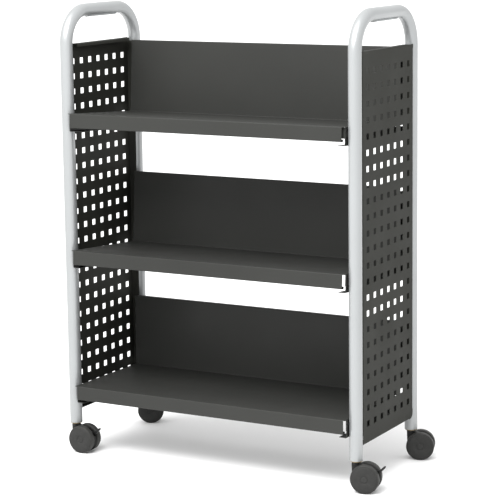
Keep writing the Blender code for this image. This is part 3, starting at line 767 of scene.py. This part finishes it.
def tube_mesh(side):
    sizes = bpy.context.scene.cart_tubes
    x = MIDDLE_X + SIDES[side] * LEG_HALF_X
    top = HANDLE_TOP - sizes.radius
    bm = bmesh.new()
    path = [(-LEG_HALF_Y, FOOT), (-LEG_HALF_Y, top), (LEG_HALF_Y, top), (LEG_HALF_Y, FOOT)]
    corners = [bm.verts.new((x, MIDDLE_Y + y, z)) for y, z in path]
    for first, second in zip(corners, corners[1:]):
        bm.edges.new((first, second))
    values = {
        "Bend radius": sizes.bend,
        "Bend steps": 28,
        "Tube radius": sizes.radius,
        "Sides": sizes.sides,
        "Material": material_named("tube enamel"),
    }
    skin = grown_mesh("tube", mesh_from("tube_path", bm), bent_tube_tree(), values)
    bm = bmesh.new()
    bm.from_mesh(skin)
    bmesh.ops.recalc_face_normals(bm, faces=bm.faces)
    front = max(bm.faces, key=lambda face: face.calc_center_median().z)
    if front.normal.z < 0:
        bmesh.ops.reverse_faces(bm, faces=bm.faces)
    thing = link("tube", mesh_from("tube", bm))
    wall = thing.modifiers.new("wall", "SOLIDIFY")
    wall.thickness = sizes.wall
    wall.offset = -1
    wall.use_even_offset = True
    add_bevel(thing, 0.0004, 2, 50)
    return soften(evaluated_mesh(thing))


def strip_mesh(side):
    """A shallow trough with rounded ends that follows the handle's underside."""
    sizes = bpy.context.scene.cart_tubes
    x = MIDDLE_X + SIDES[side] * LEG_HALF_X
    z = HANDLE_TOP - sizes.radius
    half_angle = math.radians(36)
    inner = sizes.radius + GAP
    across = 16
    along = 44
    sheet = Sheet()
    lines = []
    for row in range(along + 1):
        y = sizes.strip_length * (row / along - 0.5)
        end = max(0.0, abs(y) - sizes.strip_length / 2 + 0.008) / 0.008
        narrowed = half_angle * math.sqrt(max(0.02, 1 - end * end))
        line = []
        for step in range(across + 1):
            angle = narrowed * (2 * step / across - 1)
            line.append((x + inner * math.sin(angle), MIDDLE_Y + y, z - inner * math.cos(angle)))
        lines.append(line)
    sheet.grid(lines)
    bm = sheet.bm
    bmesh.ops.recalc_face_normals(bm, faces=bm.faces)
    if sum(face.normal.z for face in bm.faces) < 0:
        bmesh.ops.reverse_faces(bm, faces=bm.faces)
    thing = link("strip", mesh_from("strip", bm))
    depth = thing.modifiers.new("depth", "SOLIDIFY")
    depth.thickness = sizes.strip_depth
    depth.offset = -1
    add_bevel(thing, 0.0006, 3, 50)
    return soften(evaluated_mesh(thing))


class CART_OT_tubes(bpy.types.Operator):
    """Build the two bent tube frames"""

    bl_idname = "cart.tubes"
    bl_label = "Frame tubes"

    def execute(self, context):
        for side in SIDES:
            paint = material_named("tube enamel")
            show(f"tube_{side}", tube_mesh(side), paint, "cart", [f"frame_tube_{side}"])
        return {"FINISHED"}


class CART_OT_strips(bpy.types.Operator):
    """Build the strips under the handles"""

    bl_idname = "cart.strips"
    bl_label = "Handle strips"

    def execute(self, context):
        for side in SIDES:
            plastic = material_named("handle strip")
            show(f"strip_{side}", strip_mesh(side), plastic, "cart", [f"grip_strip_{side}"])
        return {"FINISHED"}


# Side panels ------------------------------------------------------------------------------------

def cell_mesh(pitch, hole, corner, steps=4):
    """One square of sheet with a rounded square hole, flat in X and Y."""
    bm = bmesh.new()
    half = pitch / 2
    inner = hole / 2
    outer = [bm.verts.new((sx * half, sy * half, 0)) for sx, sy in ((1, 1), (-1, 1), (-1, -1), (1, -1))]
    arcs = []
    for index, (sx, sy) in enumerate(((1, 1), (-1, 1), (-1, -1), (1, -1))):
        arc = []
        for step in range(steps + 1):
            angle = math.pi / 2 * (index + step / steps)
            x = sx * (inner - corner) + corner * math.cos(angle)
            y = sy * (inner - corner) + corner * math.sin(angle)
            arc.append(bm.verts.new((x, y, 0)))
        arcs.append(arc)
    middle = steps // 2
    for index in range(4):
        after = (index + 1) % 4
        ring = [outer[index]] + arcs[index][middle:] + arcs[after][: middle + 1] + [outer[after]]
        bm.faces.new(ring)
    return mesh_from("cell", bm)


def panel_mesh(side):
    sizes = bpy.context.scene.cart_panels
    low, high = PANEL_BOX[side]
    sign = SIDES[side]
    face_x = high.x if sign > 0 else low.x
    inner_x = face_x - sign * sizes.flange
    half = (high.y - low.y) / 2
    pitch = sizes.pitch
    fold = sizes.bend
    field_top = sizes.top_row + pitch / 2
    field_low = field_top - sizes.rows * pitch
    foot = low.z
    top = high.z
    flange_low = foot + sizes.rear_corner + sizes.relief
    flange_high = top - sizes.relief
    span = (sizes.columns - 1) * pitch
    rise = (sizes.rows - 1) * pitch
    values = {
        "Columns": sizes.columns,
        "Rows": sizes.rows,
        "Width": span,
        "Height": rise,
        "Weld distance": 0.00001,
        "Material": material_named("panel powder coat"),
    }
    field = grown_mesh("field", cell_mesh(pitch, sizes.hole, sizes.hole_corner), perforation_tree(), values)
    middle_z = sizes.top_row - rise / 2
    sheet = Sheet()
    sheet.take(field, lambda co: (face_x, MIDDLE_Y + co.x, middle_z + co.y))

    def on_face(y, z):
        return (face_x, MIDDLE_Y + y, z)

    def patch(y0, y1, z0, z1):
        sheet.face([on_face(y0, z0), on_face(y1, z0), on_face(y1, z1), on_face(y0, z1)])

    edge = sizes.columns * pitch / 2
    columns = [pitch * index - edge for index in range(sizes.columns + 1)]
    heights = [field_low + pitch * index for index in range(sizes.rows + 1)]
    upper = half - sizes.top_inset
    straight = half - fold

    # bottom margin, with its flange and the lower rear corner rounded
    turned = foot + fold
    for y0, y1 in zip([-half, -straight] + columns, [-straight] + columns[:-1]):
        patch(y0, y1, turned, flange_low)
    flange_end = span / 2 + sizes.hole / 2
    arc = rounded_line([(flange_end, foot), (half, foot), (half, flange_low)], [sizes.rear_corner], 8)
    ring = [on_face(columns[-2], turned), on_face(flange_end, turned)] + [on_face(y, z) for y, z in arc]
    ring += [on_face(straight, flange_low), on_face(edge, flange_low), on_face(columns[-2], flange_low)]
    sheet.face(ring)
    line = rounded_line([(face_x, turned), (face_x, foot), (inner_x, foot)], [fold * ALMOST])
    along = [-half, -straight] + columns[:-1] + [flange_end]
    sheet.grid([[(x, MIDDLE_Y + y, z) for y in along] for x, z in line])
    margin = [-straight] + columns + [straight]
    for y0, y1 in zip(margin, margin[1:]):
        patch(y0, y1, flange_low, field_low)

    # margins beside the holes
    for z0, z1 in zip(heights, heights[1:]):
        for y0, y1 in ((-straight, -edge), (edge, straight)):
            patch(y0, y1, z0, z1)

    # top margin
    tops = sorted([-straight, -upper, upper, straight] + columns)
    for y0, y1 in zip(margin, margin[1:]):
        between = [y for y in tops if y0 < y < y1]
        ring = [on_face(y0, field_top), on_face(y1, field_top), on_face(y1, flange_high)]
        ring += [on_face(y, flange_high) for y in reversed(between)]
        sheet.face(ring + [on_face(y0, flange_high)])
    corners = [-half] + tops + [half]
    for y0, y1 in zip(corners, corners[1:]):
        patch(y0, y1, flange_high, top - fold)
        if min(abs(y0), abs(y1)) >= upper - 1e-6:
            patch(y0, y1, top - fold, top)

    # top flange and its hem
    corners = [(face_x, top - fold), (face_x, top), (inner_x, top), (inner_x, top - sizes.hem)]
    line = rounded_line(corners, [fold * ALMOST, fold])
    inside = [y for y in tops if abs(y) <= upper + 1e-6]
    sheet.grid([[(x, MIDDLE_Y + y, z) for y in inside] for x, z in line])

    # side flanges
    levels = [flange_low] + heights + [flange_high]
    for end in (-1, 1):
        corners = [(face_x, end * straight), (face_x, end * half), (inner_x, end * half)]
        line = rounded_line(corners, [fold * ALMOST])
        sheet.grid([[(x, MIDDLE_Y + y, z) for z in levels] for x, y in line])
    return sheet.solid("panel", bpy.context.scene.cart_shelves.sheet, (sign, 0, 0), edge=0.0002)


class CART_OT_panels(bpy.types.Operator):
    """Build the perforated side panels"""

    bl_idname = "cart.panels"
    bl_label = "Side panels"

    def execute(self, context):
        for side in SIDES:
            show(
                f"panel_{side}",
                panel_mesh(side),
                material_named("panel powder coat"),
                "cart",
                [f"side_panel_{side}"],
            )
        return {"FINISHED"}


# Shelves ----------------------------------------------------------------------------------------

def shelf_mesh(index):
    sizes = bpy.context.scene.cart_shelves
    end = LEG_HALF_X - TUBE_RADIUS - GAP
    fold = sizes.bend
    lip = sizes.lip_half
    depth = sizes.floor_depth
    height = sizes.back_height
    relief = sizes.relief
    low = -sizes.lip_height
    turn = sizes.lip_return
    inside = fold - sizes.sheet
    columns = [-end, -(end - fold), -lip, lip, end - fold, end]
    sheet = Sheet()

    def lay(line, xs):
        sheet.grid([[(x, y, z) for x in xs] for y, z in line])

    # lip
    corners = [(turn, low + sizes.lip_upturn), (turn, low), (0, low), (0, 0), (fold, 0)]
    line = rounded_line(corners, [fold, fold, fold * ALMOST])
    lay(line, [-lip, lip])
    # floor
    for xs in (columns[:3], columns[3:]):
        lay([(0, 0), (fold, 0)], xs)
    lay([(fold, 0), (relief, 0)], columns)
    lay([(relief, 0), (depth - relief, 0)], columns[1:-1])
    line = rounded_line([(depth - relief, 0), (depth, 0), (depth, relief)], [inside])
    lay(line, columns)
    # back
    lay([(depth, relief), (depth, height - relief)], columns[1:-1])
    hem_y = depth + sizes.hem_depth
    corners = [(depth, height - relief), (depth, height), (hem_y, height), (hem_y, height - sizes.hem_drop)]
    line = rounded_line(corners, [fold, fold])
    lay(line, columns)
    # end plates, whose front edges turn in as tabs on the top shelf, and the flanges behind the back
    foot = -sizes.end_height
    inner = end - sizes.end_return
    for side in (-1, 1):
        line = rounded_line([(end - fold, 0), (end, 0), (end, -relief)], [fold * ALMOST])
        line = line[:-1] + [(end, -sizes.tab_top), (end, -relief), (end, -sizes.tab_foot)]
        line += rounded_line([(end, -sizes.tab_foot), (end, foot), (inner, foot)], [fold])[1:]
        hinge = relief + fold
        sheet.grid([[(side * x, hinge, z), (side * x, depth - relief, z)] for x, z in line])
        for first, second in zip(line, line[1:]):
            if first[1] > -sizes.tab_top - 1e-6 or second[1] < -sizes.tab_foot - 1e-6:
                sheet.grid([[(side * x, relief, z), (side * x, hinge, z)] for x, z in (first, second)])
        tab_end = end - (sizes.tab_width if index == 0 else fold)
        bend = rounded_line([(end, hinge), (end, relief), (tab_end, relief)], [fold * ALMOST])
        levels = (-sizes.tab_top, -relief, -sizes.tab_foot)
        sheet.grid([[(side * x, y, z) for z in levels] for x, y in bend])
        x = side * end
        y0 = depth - relief
        y1 = sizes.end_reach
        outline = [(y0, -relief), (y1, -relief), (y1, foot)]
        outline += [(y0, foot), (y0, foot + fold), (y0, -sizes.tab_foot)]
        sheet.face([(x, y, z) for y, z in outline])
        line = rounded_line([(end - fold, depth), (end, depth), (end, sizes.back_reach)], [fold * ALMOST])
        sheet.grid([[(side * x, y, relief), (side * x, y, height - relief)] for x, y in line])
    mesh = sheet.solid("shelf", sizes.sheet, (0, 0, 1))
    mesh.transform(shelf_place(index))
    return mesh


class CART_OT_shelves(bpy.types.Operator):
    """Build the three bent sheet shelves"""

    bl_idname = "cart.shelves"
    bl_label = "Shelves"

    def execute(self, context):
        for index, level in enumerate(LEVELS):
            show(
                f"shelf_sheet_{level}",
                shelf_mesh(index),
                material_named("shelf powder coat"),
                "cart",
                [f"shelf_{level}"],
            )
        return {"FINISHED"}


# Screws -----------------------------------------------------------------------------------------

def screw_shape(head_radius, head_height, shank_radius, shank_length, socket_radius):
    """A button-head screw with a hexagonal socket; its shank points along +Z from its seat."""
    sides = 24
    bm = bmesh.new()

    def ring(radius, height, hexagonal=False):
        verts = []
        for step in range(sides):
            angle = 2 * math.pi * step / sides
            reach = radius
            if hexagonal:
                reach = radius * math.cos(math.pi / 6) / math.cos((angle % (math.pi / 3)) - math.pi / 6)
            verts.append(bm.verts.new((reach * math.cos(angle), reach * math.sin(angle), height)))
        return verts

    rings = [[bm.verts.new((0, 0, -head_height * 0.45))]]
    rings.append(ring(socket_radius, -head_height * 0.45, True))
    rings.append(ring(socket_radius, -head_height * 0.97, True))
    rings.append(ring(socket_radius * 1.12, -head_height))
    for angle in (65, 45, 25, 8):
        turn = math.radians(angle)
        rings.append(ring(head_radius * math.cos(turn) ** 0.6, -head_height * math.sin(turn)))
    rings.append(ring(head_radius, 0))
    rings.append(ring(shank_radius, 0))
    rings.append(ring(shank_radius, shank_length))
    rings.append([bm.verts.new((0, 0, shank_length))])
    for low, high in zip(rings, rings[1:]):
        stitch(bm, low, high, sides)
    face_outwards(bm)
    return mesh_from("screw", bm)


class CART_OT_screws(bpy.types.Operator):
    """Build the screws that hold the shelves"""

    bl_idname = "cart.screws"
    bl_label = "Shelf screws"

    def execute(self, context):
        places = []
        nodes = []
        for level in LEVELS:
            for side in SIDES:
                for leg in ("front", "rear"):
                    node = f"shelf_screw_{level}_{side}_{leg}"
                    low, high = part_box(node)
                    middle = (low + high) / 2
                    seat_x = MIDDLE_X + SIDES[side] * (LEG_HALF_X - TUBE_RADIUS - 2 * GAP - 0.0012)
                    places.append(((seat_x, middle.y, middle.z), (SIDES[side], 0, 0)))
                    nodes.append(node)
        points = bpy.data.meshes.new("screw_places")
        points.from_pydata([place for place, _ in places], [], [])
        facing = points.attributes.new("facing", "FLOAT_VECTOR", "POINT")
        facing.data.foreach_set("vector", [value for _, way in places for value in way])
        screw = link("screw", screw_shape(0.0055, 0.0029, 0.003, 0.0074, 0.0021))
        values = {"Fastener": screw, "Material": material_named("zinc plate")}
        mesh = grown_mesh("screws", points, fastener_tree(), values)
        bpy.data.objects.remove(screw, do_unlink=True)
        show("shelf_screws", soften(mesh), material_named("zinc plate"), "cart", nodes)
        return {"FINISHED"}


# Casters ----------------------------------------------------------------------------------------

NECK_BASE = 0.0668
NECK_TOP = 0.0723
STEM_BORE = 0.0042
AXLE_BORE = 0.0033
BORE_REACH = 0.02
LEVER_PIVOT = (0.0450, 0.0493)
LEVER_SLOT_CORNER = 0.0065
LEVER_SLOT_LENGTH = 0.040
LEVER_SLOT_HALF = 0.0038
LEVER_PIN_BORE = 0.0016


def cross_bore(radius, sides, x, z):
    """A cutter for a hole along the axle's direction at (x, z)."""
    profile = [(0, -BORE_REACH), (radius, -BORE_REACH), (radius, BORE_REACH), (0, BORE_REACH)]
    return lathe(profile, sides, on_axle(x, z))


def wheel_mesh(corner, facing):
    """A wheel with a hub disc, a stepped rim and a rounded tread."""
    sizes = bpy.context.scene.cart_casters
    radius = sizes.wheel_radius
    face = sizes.outer_face
    inner = sizes.inner_face
    bore = 0.0031
    pocket = 0.021
    profile = [
        (0, face - 0.0004),
        (0.0030, face - 0.0004),
        (0.0076, face - 0.0005),
        (0.0081, face - 0.0009),
        (0.0083, face - 0.0012),
        (0.0087, face - 0.0012),
        (0.0091, face - 0.0007),
        (0.0098, face - 0.0003),
        (0.0215, face),
        (0.0300, face - 0.0002),
        (0.0308, face - 0.0006),
        (0.0311, face - 0.0015),
        (0.0317, face - 0.0015),
        (0.0320, face - 0.0008),
        (0.0333, face - 0.0011),
        (0.0343, face - 0.0020),
        (radius, face - 0.0036),
        (radius, inner + 0.0030),
        (0.0346, inner + 0.0014),
        (0.0338, inner + 0.0004),
        (0.0328, inner),
        (0.0255, inner),
        (0.0248, inner + 0.0012),
        (0.0120, inner + 0.0012),
        (0.0112, inner),
        (bore, inner),
        (bore, pocket),
        (0, pocket),
    ]
    flipped = [(r, facing * height) for r, height in profile]
    place = caster_place(corner) @ on_axle(sizes.trail, radius)
    bm = lathe(flipped, sizes.sides, place)
    mesh = mesh_from("wheel", bm)
    centre = place @ Vector((0, 0, 0))
    along = (place.to_3x3() @ Vector((0, 0, 1))).normalized()
    rubbed = []
    for polygon in mesh.polygons:
        offset = polygon.center - centre
        out = (offset - along * offset.dot(along)).length
        rubbed.append(1.0 if out > radius - 0.0006 else (0.4 if out > radius - 0.0065 else 0.0))
    mark_faces(mesh, "edge", rubbed)
    mesh.shade_smooth()
    mesh.set_sharp_from_angle(angle=math.radians(48))
    return mesh


def hood_mesh(corner):
    """The caster body: a web between the wheels, a tapered neck and, in front, the lever's slot."""
    sizes = bpy.context.scene.cart_casters
    half = sizes.hood_half
    radius = sizes.hood_radius
    trail = sizes.trail
    axle_z = sizes.wheel_radius
    web = lathe(
        [(0, -half), (radius - 0.0012, -half), (radius - 0.0003, -half + 0.0004), (radius, -half + 0.0014),
         (radius, half - 0.0014), (radius - 0.0003, half - 0.0004), (radius - 0.0012, half), (0, half)],
        72,
        on_axle(trail, axle_z),
    )
    neck = lathe(
        [(0, NECK_BASE), (sizes.neck_radius - 0.0009, NECK_BASE), (sizes.neck_radius, 0.0712),
         (sizes.neck_radius - 0.0003, NECK_TOP), (0, NECK_TOP)],
        48,
    )
    column = prism([(-0.0088, 0.041), (0.0093, 0.041), (0.0097, 0.069), (-0.0097, 0.069)], half - 0.0004)
    saddle = prism(
        [(-0.0094, 0.058), (0.030, 0.0605), (0.022, NECK_BASE), (0.0085, 0.0702), (-0.0097, 0.0702)],
        half - 0.0006,
    )
    stem_bore = lathe([(0, 0.044), (STEM_BORE, 0.044), (STEM_BORE, 0.075), (0, 0.075)], 24)
    axle_bore = cross_bore(AXLE_BORE, 20, trail, axle_z)
    steps = [("UNION", column), ("UNION", saddle), ("UNION", neck)]
    steps += [("DIFFERENCE", stem_bore), ("DIFFERENCE", axle_bore)]
    if corner in BRAKED:
        low_x, low_z = (value - LEVER_SLOT_CORNER for value in LEVER_PIVOT)
        high_x, high_z = low_x + LEVER_SLOT_LENGTH, low_z + LEVER_SLOT_LENGTH
        slot = prism([(low_x, low_z), (high_x, low_z), (high_x, high_z), (low_x, high_z)], LEVER_SLOT_HALF)
        pin = cross_bore(LEVER_PIN_BORE, 16, *LEVER_PIVOT)
        steps += [("DIFFERENCE", slot), ("DIFFERENCE", pin)]
    mesh = combine("hood", web, steps, 0.0005, 50)
    mesh.transform(caster_place(corner))
    return mesh


def socket_mesh(corner):
    """The plug in the tube's foot, below which the caster turns."""
    bm = lathe(
        [(0.0056, 0.0726), (0.0122, 0.0726), (0.0128, 0.0731), (0.0131, 0.0737), (0.0140, 0.0740),
         (0.0140, 0.0755), (0.0140, 0.1045), (0.0136, 0.105), (0.0056, 0.105)],
        48,
        Matrix.Translation(caster_place(corner).to_translation()),
    )
    return soften(mesh_from("socket", bm))


def ring_mesh(corner):
    """The thin ring between the tube's foot and the plug's rim."""
    bm = lathe(
        [(0.0141, 0.0743), (0.0150, 0.0741), (0.0154, 0.0744),
         (0.0155, 0.0749), (0.0153, 0.0754), (0.0141, 0.0755)],
        56,
        Matrix.Translation(caster_place(corner).to_translation()),
    )
    return soften(mesh_from("ring", bm))


class CART_OT_wheels(bpy.types.Operator):
    """Build the caster wheels"""

    bl_idname = "cart.wheels"
    bl_label = "Wheels"

    def execute(self, context):
        for corner in CORNERS:
            for which, facing in (("near", -1), ("far", 1)):
                body = f"{which}_wheel_{corner}"
                mesh = wheel_mesh(corner, facing)
                nylon = material_named("wheel nylon")
                show(f"{which}_tyre_{corner}", mesh, nylon, body, [body])
        return {"FINISHED"}


class CART_OT_hoods(bpy.types.Operator):
    """Build the caster bodies between the wheels"""

    bl_idname = "cart.hoods"
    bl_label = "Caster bodies"

    def execute(self, context):
        for corner in CORNERS:
            show(
                f"caster_body_{corner}",
                hood_mesh(corner),
                material_named("caster nylon"),
                f"caster_{corner}",
                [f"caster_hood_{corner}"],
            )
        return {"FINISHED"}


class CART_OT_sockets(bpy.types.Operator):
    """Build the plugs and rings at the tube feet"""

    bl_idname = "cart.sockets"
    bl_label = "Foot plugs"

    def execute(self, context):
        for corner in CORNERS:
            node = f"caster_socket_{corner}"
            nylon = material_named("lever nylon")
            show(f"foot_plug_{corner}", socket_mesh(corner), nylon, "cart", [node])
            plating = material_named("foot ring")
            show(f"foot_ring_{corner}", ring_mesh(corner), plating, "cart", [])
        return {"FINISHED"}


class CART_OT_levers(bpy.types.Operator):
    """Build the brake levers"""

    bl_idname = "cart.levers"
    bl_label = "Brake levers"

    def execute(self, context):
        for corner in BRAKED:
            node = f"brake_lever_{corner}"
            mesh = piece_from_node("lever", node, 0.0006)
            show(f"lever_{corner}", mesh, material_named("lever nylon"), node, [node])
        return {"FINISHED"}


class CART_OT_hardware(bpy.types.Operator):
    """Give the stems, axles and pins their plating"""

    bl_idname = "cart.hardware"
    bl_label = "Stems, axles and pins"

    def execute(self, context):
        plating = material_named("zinc plate")
        for name, node in frame["nodes"].items():
            if name.startswith(("caster_stem", "caster_axle", "brake_pin")):
                node.data.materials.clear()
                node.data.materials.append(plating)
        return {"FINISHED"}


# Stage ------------------------------------------------------------------------------------------

SUN_WAY = (0.12, 0.60, -0.79)


def area_light(name, power, size, place, target):
    data = bpy.data.lights.new(name, "AREA")
    data.energy = power
    data.shape = "RECTANGLE"
    data.size, data.size_y = size
    light = bpy.data.objects.new(name, data)
    bpy.context.scene.collection.objects.link(light)
    light.location = place
    light.rotation_euler = (Vector(target) - Vector(place)).to_track_quat("-Z", "Y").to_euler()


def add_camera(stage):
    data = bpy.data.cameras.new("camera")
    data.lens = stage.lens
    data.sensor_width = 36.0
    data.shift_y = stage.shift
    data.clip_end = 200.0
    camera = bpy.data.objects.new("camera", data)
    bpy.context.scene.collection.objects.link(camera)
    forward = Vector(
        (
            -math.sin(stage.yaw) * math.cos(stage.pitch),
            math.cos(stage.yaw) * math.cos(stage.pitch),
            -math.sin(stage.pitch),
        )
    )
    level = Vector((math.cos(stage.yaw), math.sin(stage.yaw), 0))
    up = level.cross(forward)
    right = math.cos(stage.roll) * level + math.sin(stage.roll) * up
    above = -math.sin(stage.roll) * level + math.cos(stage.roll) * up
    turn = Matrix((right, above, -forward)).transposed().to_4x4()
    place = Vector(stage.camera) + Vector((MIDDLE_X, MIDDLE_Y, 0))
    camera.matrix_world = Matrix.Translation(place) @ turn
    bpy.context.scene.camera = camera


class CART_OT_stage(bpy.types.Operator):
    """Add the floor, the lights and the camera"""

    bl_idname = "cart.stage"
    bl_label = "Stage"

    def execute(self, context):
        stage = context.scene.cart_stage
        bm = bmesh.new()
        bmesh.ops.create_grid(bm, x_segments=1, y_segments=1, size=60.0)
        floor = link("floor", mesh_from("floor", bm))
        paint = bpy.data.materials.new("floor")
        paint.use_nodes = True
        shader = paint.node_tree.nodes["Principled BSDF"]
        shader.inputs["Base Color"].default_value = (*stage.floor, 1.0)
        shader.inputs["Roughness"].default_value = 0.9
        shader.inputs["Specular IOR Level"].default_value = 0.1
        floor.data.materials.append(paint)
        world = bpy.data.worlds.new("studio")
        world.use_nodes = True
        sky = world.node_tree.nodes["Background"]
        sky.inputs["Color"].default_value = (1.0, 1.0, 1.0, 1.0)
        sky.inputs["Strength"].default_value = stage.sky
        context.scene.world = world
        target = (MIDDLE_X, MIDDLE_Y, 0.55)
        area_light("fill", stage.fill, (1.4, 1.0), (0.1, -1.7, 2.4), target)
        sun = bpy.data.lights.new("sun", "SUN")
        sun.energy = stage.sun
        sun.angle = stage.sun_angle
        light = link("sun", sun)
        light.rotation_euler = Vector(SUN_WAY).to_track_quat("-Z", "Y").to_euler()
        context.scene.view_settings.view_transform = "Standard"
        add_camera(stage)
        return {"FINISHED"}


class CART_PT_sidebar(bpy.types.Panel):
    """Sidebar panel with the cart's settings and its build steps"""

    bl_idname = "CART_PT_sidebar"
    bl_label = "Book cart"
    bl_space_type = "VIEW_3D"
    bl_region_type = "UI"
    bl_category = "Book Cart"

    def draw(self, context):
        for label, group in SETTINGS.items():
            column = self.layout.column()
            column.label(text=group.__name__)
            settings = getattr(context.scene, label)
            for name in group.__annotations__:
                column.prop(settings, name)
        for operator in OPERATORS:
            self.layout.operator(operator.bl_idname)


SETTINGS = {
    "cart_tubes": CartTubeSettings,
    "cart_panels": CartPanelSettings,
    "cart_shelves": CartShelfSettings,
    "cart_casters": CartCasterSettings,
    "cart_finishes": CartFinishSettings,
    "cart_stage": CartStageSettings,
}
OPERATORS = (
    CART_OT_tubes,
    CART_OT_strips,
    CART_OT_panels,
    CART_OT_shelves,
    CART_OT_screws,
    CART_OT_wheels,
    CART_OT_hoods,
    CART_OT_sockets,
    CART_OT_levers,
    CART_OT_hardware,
    CART_OT_stage,
)


def register():
    for group in SETTINGS.values():
        bpy.utils.register_class(group)
    for operator in OPERATORS:
        bpy.utils.register_class(operator)
    bpy.utils.register_class(CART_PT_sidebar)
    for label, group in SETTINGS.items():
        setattr(bpy.types.Scene, label, PointerProperty(type=group))


def unregister():
    for label in SETTINGS:
        delattr(bpy.types.Scene, label)
    bpy.utils.unregister_class(CART_PT_sidebar)
    for operator in reversed(OPERATORS):
        bpy.utils.unregister_class(operator)
    for group in reversed(list(SETTINGS.values())):
        bpy.utils.unregister_class(group)


def main():
    register()
    for operator in OPERATORS:
        group, name = operator.bl_idname.split(".")
        getattr(getattr(bpy.ops, group), name)()


if __name__ == "__main__":
    main()
